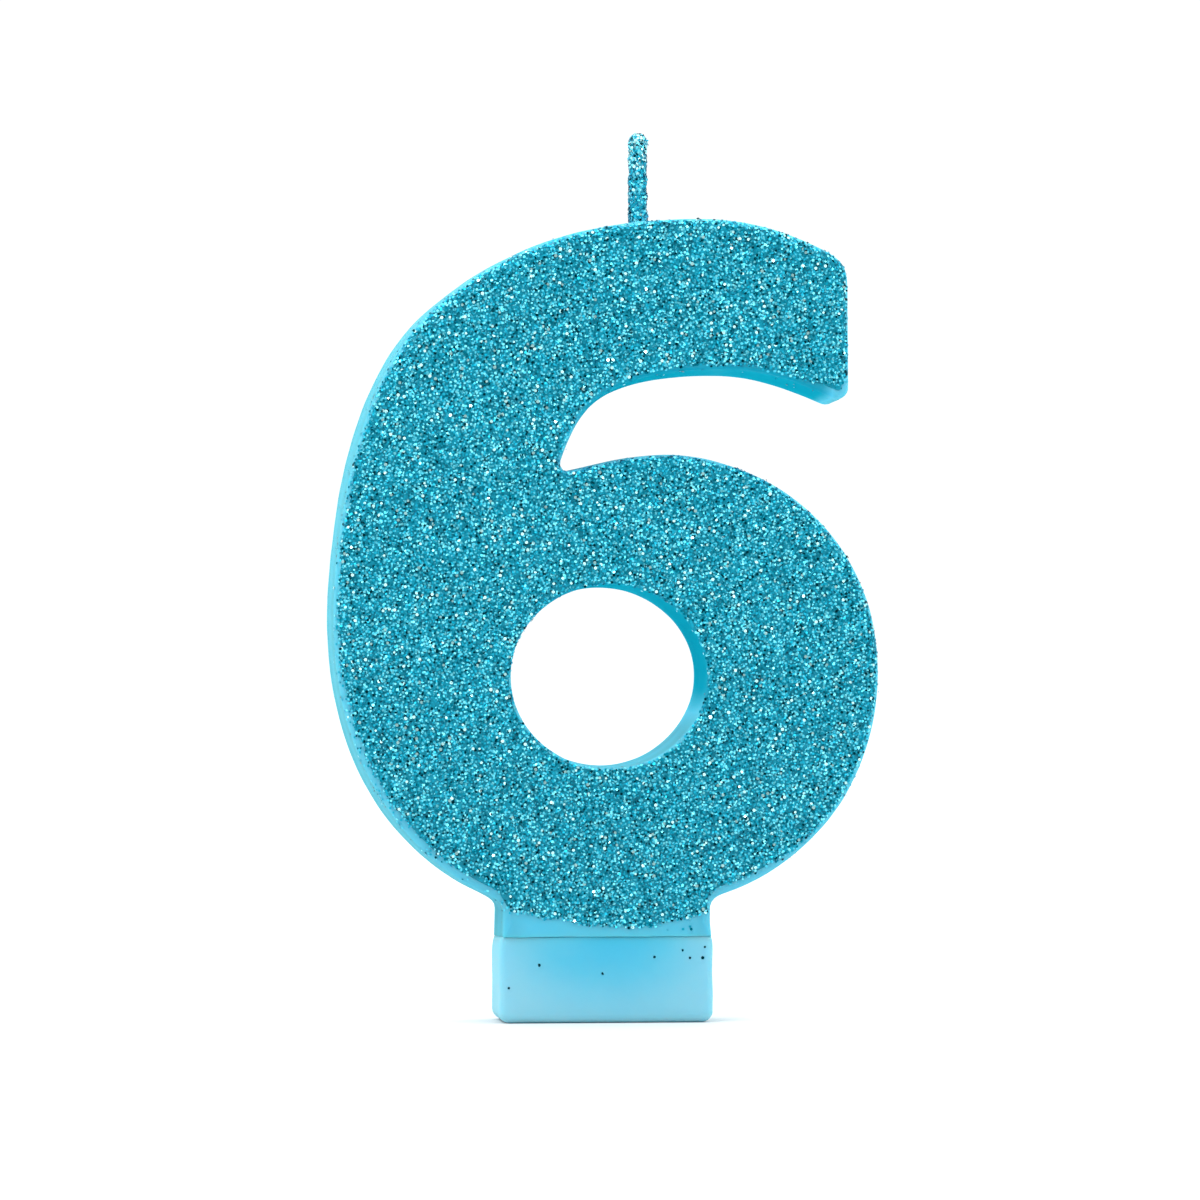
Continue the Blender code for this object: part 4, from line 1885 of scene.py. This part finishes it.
    def build(self) -> list[Piece]:
        """Builds and dresses the film and the flakes.

        Returns:
            The pieces.
        """
        rng = np.random.default_rng(self.seed)
        flakes = self.scatter(rng)
        pieces = [self.film()]
        low = 0.0
        for name, high in self.bands:
            inside = (flakes.centres[:, 2] >= low) & (flakes.centres[:, 2] < high)
            band = self.press.lay(name, flakes.part(inside), rng)
            pieces.append(settle(band, "glitter", "glitter_layer"))
            low = high
        strays = self.press.lay("glitter_flakes_on_sides", self.wall_strays(rng), rng)
        pieces.append(settle(strays, "glitter"))
        return pieces


@dataclass
class FootStrays:
    """Single flakes that fell on the front of the foot and the bare part of the neck."""

    foot: WaxFoot
    press: FlakePress
    width: float = 0.34 * MM
    seed: int = 77
    # Places (x, z) in millimetres of the flakes on the foot.
    places_mm: tuple[tuple[float, float], ...] = (
        (-6.4, 5.4),
        (-0.5, 4.6),
        (-9.2, 3.3),
        (4.3, 6.1),
        (6.9, 6.7),
        (7.6, 6.0),
        (8.8, 6.0),
        (9.0, 7.0),
    )

    def build(self) -> Piece:
        """Builds and dresses the flakes.

        Returns:
            The piece.
        """
        rng = np.random.default_rng(self.seed)
        at = np.array(self.places_mm) * MM
        count = len(at)
        normal = np.tile([0.0, -1.0, 0.0], (count, 1))
        y = self.foot.low.y - self.foot.bow(at) - 0.02 * MM
        kinds = np.full(count, Flake.DARK.value)
        widths = self.width * rng.uniform(0.7, 1.1, count)
        leaning = self.press.lean(normal, np.full(count, 0.1), rng)
        flakes = FlakeScatter(in_depth(at, y), leaning, kinds, widths)
        return settle(self.press.lay("glitter_flakes_on_foot", flakes, rng), "glitter")


# ------------------------------------------------------------------------------
# The wick
# ------------------------------------------------------------------------------


@dataclass
class PlaitedWick:
    """Three plaited strands of yarn, the wax they were dipped in, and the glitter that sticks to it."""

    effects: Effects
    numeral: CastNumeral
    press: FlakePress
    yarn: CottonFinish = CottonFinish()
    dip: WaxFinish = WaxFinish("wick_wax", scatter=0.8 * MM)
    strand_radius: float = 0.185 * MM
    plies: int = 3
    ply_pitch: float = 1.3 * MM
    half_width: float = 0.45 * MM
    half_depth: float = 0.30 * MM
    pitch: float = 5.0 * MM
    bottom: float = 62.7 * MM
    top: float = 81.6 * MM
    coat_radius: float = 0.77 * MM
    coat_bottom: float = 74.1 * MM
    coat_top: float = 82.50 * MM
    flare: float = 0.03 * MM
    flare_reach: float = 0.55 * MM
    line_step: float = 0.12 * MM
    strand_sides: int = 18
    bulge_height: float = 0.045 * MM
    coat_depth: float = 0.35
    # The flakes turn from blue to silver over this stretch.
    silver_from: Span = (78.2 * MM, 81.4 * MM)
    # These mixes also paint sparkle and shade as flake tints.
    tip_mix: FlakeMix = FlakeMix(dark=0.13, deep=0.06, mid=0.10, pale=0.13, frost=0.23, flash=0.35)
    stem_mix: FlakeMix = FlakeMix(dark=0.03, deep=0.17, mid=0.42, pale=0.26, frost=0.10, flash=0.02)
    flake_spacing: float = 0.19 * MM
    flake_width: float = 0.28 * MM
    sides: int = 40
    seed: int = 911

    def strand_line(self, strand: int) -> Array:
        """The centre line of one strand.

        Args:
            strand: 0, 1 or 2.

        Returns:
            Its points, one per row.
        """
        z = np.arange(self.bottom, self.top, self.line_step)
        phase = 2 * math.pi * (z / self.pitch + strand / 3)
        x = self.numeral.bore_x + self.half_width * np.sin(phase)
        y = self.numeral.middle_y + self.half_depth * np.sin(2 * phase)
        return np.column_stack([x, y, z])

    def strand(self, number: int, material: Material) -> Piece:
        """Builds one strand, whose surface shows its twisted plies.

        Args:
            number: 0, 1 or 2.
            material: the yarn.

        Returns:
            The piece.
        """
        line = self.strand_line(number)
        tangent = unit(np.gradient(line, axis=0))
        across = unit(np.cross(np.tile([0.0, 1.0, 0.0], (len(line), 1)), tangent))
        along = np.cross(tangent, across)
        turn = np.linspace(0.0, 2 * math.pi, self.strand_sides, endpoint=False)
        twist = 2 * math.pi * line[:, 2:] / self.ply_pitch
        radius = self.strand_radius * (0.92 + 0.08 * np.cos(self.plies * turn[None] + twist))
        shell = (
            line[:, None]
            + (radius * np.cos(turn))[:, :, None] * across[:, None]
            + (radius * np.sin(turn))[:, :, None] * along[:, None]
        )
        draft = MeshDraft()
        rings = [draft.add(ring) for ring in shell]
        for ring, next_ring in zip(rings, rings[1:]):
            draft.bridge(ring, next_ring, len(turn))
        draft.cap(rings[0], len(turn), line[0])
        draft.cap(rings[-1], len(turn), line[-1])
        piece = draft.piece(f"wick_yarn_{number + 1}", [material])
        return settle(piece, "cotton", f"wick_strand_{number + 1}")

    def flare_at(self, z: Array) -> Array:
        """How far the wax flares out near the arm, at each height."""
        return self.flare * np.exp(-(((z - self.coat_bottom) / self.flare_reach) ** 2))

    def coat_profile(self) -> Array:
        """The side view of the dipped wax, from its flared foot to the tip.

        Returns:
            Points (radius, z), one per row.
        """
        z = np.arange(self.coat_bottom, self.coat_top - self.coat_radius, 0.15 * MM)
        side = np.column_stack([self.coat_radius + self.flare_at(z), z])
        turn = np.linspace(0.0, math.pi / 2, 12)[:-1]
        tip_z = self.coat_top - self.coat_radius + self.coat_radius * np.sin(turn)
        return np.vstack([side, np.column_stack([self.coat_radius * np.cos(turn), tip_z])])

    def bulge(self, turn: Array, z: Array) -> Array:
        """How far the wax bulges over the plait under it.

        Args:
            turn: angles round the wick.
            z: the height of each.

        Returns:
            The distance at each.
        """
        phase = 2 * math.pi * z / (self.pitch / 3)
        lumps = SoftNoise(1.6 * MM, 41).at(np.column_stack([np.cos(turn) * MM, np.sin(turn) * MM, z]))
        return self.bulge_height * (np.cos(phase) * np.cos(2 * turn) + lumps)

    def coat(self) -> Piece:
        """Builds the dipped wax.

        Returns:
            The piece.
        """
        draft = MeshDraft()
        turn = np.linspace(0.0, 2 * math.pi, self.sides, endpoint=False)
        rings = []
        for radius, z in self.coat_profile():
            share = min(1.0, radius / self.coat_radius)
            reach = radius + self.bulge(turn, np.full(self.sides, z)) * share
            x = self.numeral.bore_x + reach * np.cos(turn)
            y = self.numeral.middle_y + reach * np.sin(turn)
            rings.append(draft.add(np.column_stack([x, y, np.full(self.sides, z)])))
        for ring, next_ring in zip(rings, rings[1:]):
            draft.bridge(ring, next_ring, self.sides)
        draft.cap(rings[0], self.sides, (self.numeral.bore_x, self.numeral.middle_y, self.coat_bottom))
        draft.cap(rings[-1], self.sides, (self.numeral.bore_x, self.numeral.middle_y, self.coat_top))
        piece = draft.piece("wick_dipped_wax", [self.dip.material(self.effects)])
        store_mask(piece, "wax_depth", np.full(len(piece.data.vertices), self.coat_depth))
        return settle(piece, "wax", "wick_wax_coat")

    def flakes(self) -> Piece:
        """Covers the dipped wax with flakes that turn from blue at the foot to silver at the tip.

        Returns:
            The piece.
        """
        rng = np.random.default_rng(self.seed)
        side_top = self.coat_top - self.coat_radius
        start = self.coat_bottom + 0.05 * MM
        rows = np.arange(start, side_top + self.coat_radius * math.pi / 2, self.flake_spacing * 0.866)
        turns, heights, radii, rises = [], [], [], []
        for row in rows:
            over = max(0.0, row - side_top) / self.coat_radius
            radius = self.coat_radius * math.cos(min(over, math.pi / 2))
            z = min(row, side_top) + self.coat_radius * math.sin(min(over, math.pi / 2))
            count = max(1, round(2 * math.pi * radius / self.flake_spacing))
            turns.append(np.linspace(0, 2 * math.pi, count, endpoint=False) + rng.uniform(0, 1))
            heights.append(np.full(count, z))
            radii.append(np.full(count, radius))
            rises.append(np.full(count, math.sin(min(over, math.pi / 2))))
        turn = np.concatenate(turns) + rng.normal(scale=0.08, size=sum(map(len, turns)))
        z = np.concatenate(heights)
        rise = np.concatenate(rises)
        radius = np.concatenate(radii) + self.flare_at(z) + self.bulge(turn, z) * (1 - rise)
        flat = np.sqrt(1 - rise**2)
        normal = unit(np.column_stack([np.cos(turn) * flat, np.sin(turn) * flat, rise]))
        x = self.numeral.bore_x + radius * np.cos(turn)
        y = self.numeral.middle_y + radius * np.sin(turn)
        lift = rng.uniform(0.03, 0.12, len(z)) * MM
        centres = np.column_stack([x, y, z]) + normal * lift[:, None]
        silver = rng.random(len(z)) < smoothstep(*self.silver_from, z)
        at_tip = self.tip_mix.pick(rng.random(len(z)))
        kinds = np.where(silver, at_tip, self.stem_mix.pick(rng.random(len(z))))
        widths = self.flake_width * rng.uniform(0.75, 1.15, len(z))
        leaning = self.press.lean(normal, np.radians(rng.uniform(6, 26, len(z))), rng)
        piece = self.press.lay("wick_glitter_flakes", FlakeScatter(centres, leaning, kinds, widths), rng)
        return settle(piece, "wick_glitter", "wick_glitter_coat")

    def build(self) -> list[Piece]:
        """Builds and dresses the wick.

        Returns:
            The pieces.
        """
        cotton = self.yarn.material(self.effects)
        return [self.strand(number, cotton) for number in range(3)] + [self.coat(), self.flakes()]


# ------------------------------------------------------------------------------
# The studio
# ------------------------------------------------------------------------------


@dataclass(frozen=True)
class SoftBox:
    """One area light that faces a point."""

    name: str
    place: tuple[float, float, float]
    size: float
    watts: float
    aim: tuple[float, float, float] = (0.0, 0.0, 0.04)
    colour: Colour = (1.0, 1.0, 1.0)

    def build(self) -> Piece:
        """Hangs the light.

        Returns:
            The lamp.
        """
        data = bpy.data.lights.new(self.name, "AREA")
        data.shape = "DISK"
        data.size = self.size
        data.energy = self.watts
        data.color = self.colour
        lamp = bpy.data.objects.new(self.name, data)
        lamp.location = self.place
        lamp.rotation_euler = (Vector(self.aim) - Vector(self.place)).to_track_quat("-Z", "Y").to_euler()
        bpy.context.scene.collection.objects.link(lamp)
        return lamp


@dataclass
class Studio:
    """A pale floor, soft light from all round, and the camera."""

    effects: Effects
    floor: FloorFinish = FloorFinish()
    floor_radius: float = 4.0
    camera_turn_degrees: float = 6.1
    camera_distance: float = 0.55
    camera_height: float = 0.034
    camera_aim: tuple[float, float, float] = (-0.00032, 0.0, 0.0391)
    camera_lens_mm: float = 177.4
    light_behind: float = 1.06
    light_in_front: float = 0.45
    light_overhead: float = 1.3
    lamps: tuple[SoftBox, ...] = (
        SoftBox("key_softbox", (-0.45, -0.55, 0.62), 0.30, 1.8),
        SoftBox("side_softbox", (0.62, -0.30, 0.30), 0.35, 0.6),
        SoftBox("spark_lamp_left", (-0.22, -0.60, 0.30), 0.03, 0.25),
        SoftBox("spark_lamp_right", (0.26, -0.50, 0.42), 0.03, 0.25),
    )

    def build_floor(self) -> Piece:
        """Lays the floor as a wide disc with finer rings near the candle.

        Returns:
            The sheet.
        """
        draft = MeshDraft()
        turn = np.linspace(0, 2 * math.pi, 96, endpoint=False)
        rings = []
        for radius in np.geomspace(0.02, self.floor_radius, 24):
            ring = np.column_stack([radius * np.cos(turn), radius * np.sin(turn), np.zeros(len(turn))])
            rings.append(draft.add(ring))
        for ring, next_ring in zip(rings, rings[1:]):
            draft.bridge(ring, next_ring, len(turn))
        draft.cap(rings[0], len(turn), (0, 0, 0))
        sheet = draft.piece("studio_floor", [self.floor.material(self.effects)])
        return sheet

    def build_world(self) -> None:
        """Surrounds the candle with white that is dimmer on the camera's side."""
        world = bpy.data.worlds.new("studio_light")
        world.use_nodes = True
        nodes = world.node_tree.nodes
        links = world.node_tree.links
        place = nodes.new("ShaderNodeTexCoord")
        split = nodes.new("ShaderNodeSeparateXYZ")
        links.new(place.outputs["Generated"], split.inputs[0])
        shares = []
        for axis, start, end, low, high in (
            ("Y", -0.9, 0.3, self.light_in_front, self.light_behind),
            ("Z", 0.25, 1.0, 0.0, self.light_overhead),
        ):
            span = nodes.new("ShaderNodeMapRange")
            span.interpolation_type = "SMOOTHSTEP"
            for label, value in (("From Min", start), ("From Max", end), ("To Min", low), ("To Max", high)):
                span.inputs[label].default_value = value
            links.new(split.outputs[axis], span.inputs["Value"])
            shares.append(span.outputs[0])
        total = nodes.new("ShaderNodeMath")
        total.operation = "ADD"
        links.new(shares[0], total.inputs[0])
        links.new(shares[1], total.inputs[1])
        links.new(total.outputs[0], nodes["Background"].inputs["Strength"])
        nodes["Background"].inputs["Color"].default_value = (1.0, 1.0, 1.0, 1.0)
        bpy.context.scene.world = world

    def build_camera(self) -> Piece:
        """Sets the camera up a little to the left of the middle, near the height of the bowl.

        Returns:
            The camera.
        """
        turn = math.radians(self.camera_turn_degrees)
        data = bpy.data.cameras.new("camera")
        data.lens = self.camera_lens_mm
        data.sensor_width = 36.0
        data.clip_start = 0.01
        data.clip_end = 20.0
        camera = bpy.data.objects.new("camera", data)
        out = Vector((-math.sin(turn), -math.cos(turn), 0.0)) * self.camera_distance
        camera.location = (out.x, out.y, self.camera_height)
        look = Vector(self.camera_aim) - camera.location
        camera.rotation_euler = look.to_track_quat("-Z", "Y").to_euler()
        bpy.context.scene.collection.objects.link(camera)
        bpy.context.scene.camera = camera
        return camera

    def build(self) -> None:
        """Sets up everything round the candle."""
        bpy.context.scene.view_settings.view_transform = "Standard"
        self.build_world()
        self.build_floor()
        for lamp in self.lamps:
            lamp.build()
        self.build_camera()


# ------------------------------------------------------------------------------
# The whole scene
# ------------------------------------------------------------------------------


def main() -> None:
    """Builds the candle and the studio in order."""
    logging.basicConfig(level=logging.INFO, format="%(name)s: %(message)s")
    effects = Effects()
    press = FlakePress(effects)
    numeral = CastNumeral(effects)
    numeral.build()
    foot = WaxFoot(effects, numeral)
    foot.build()
    GlitterFront(effects, numeral, press).build()
    FootStrays(foot, press).build()
    PlaitedWick(effects, numeral, press).build()
    Studio(effects).build()


if __name__ == "__main__":
    main()
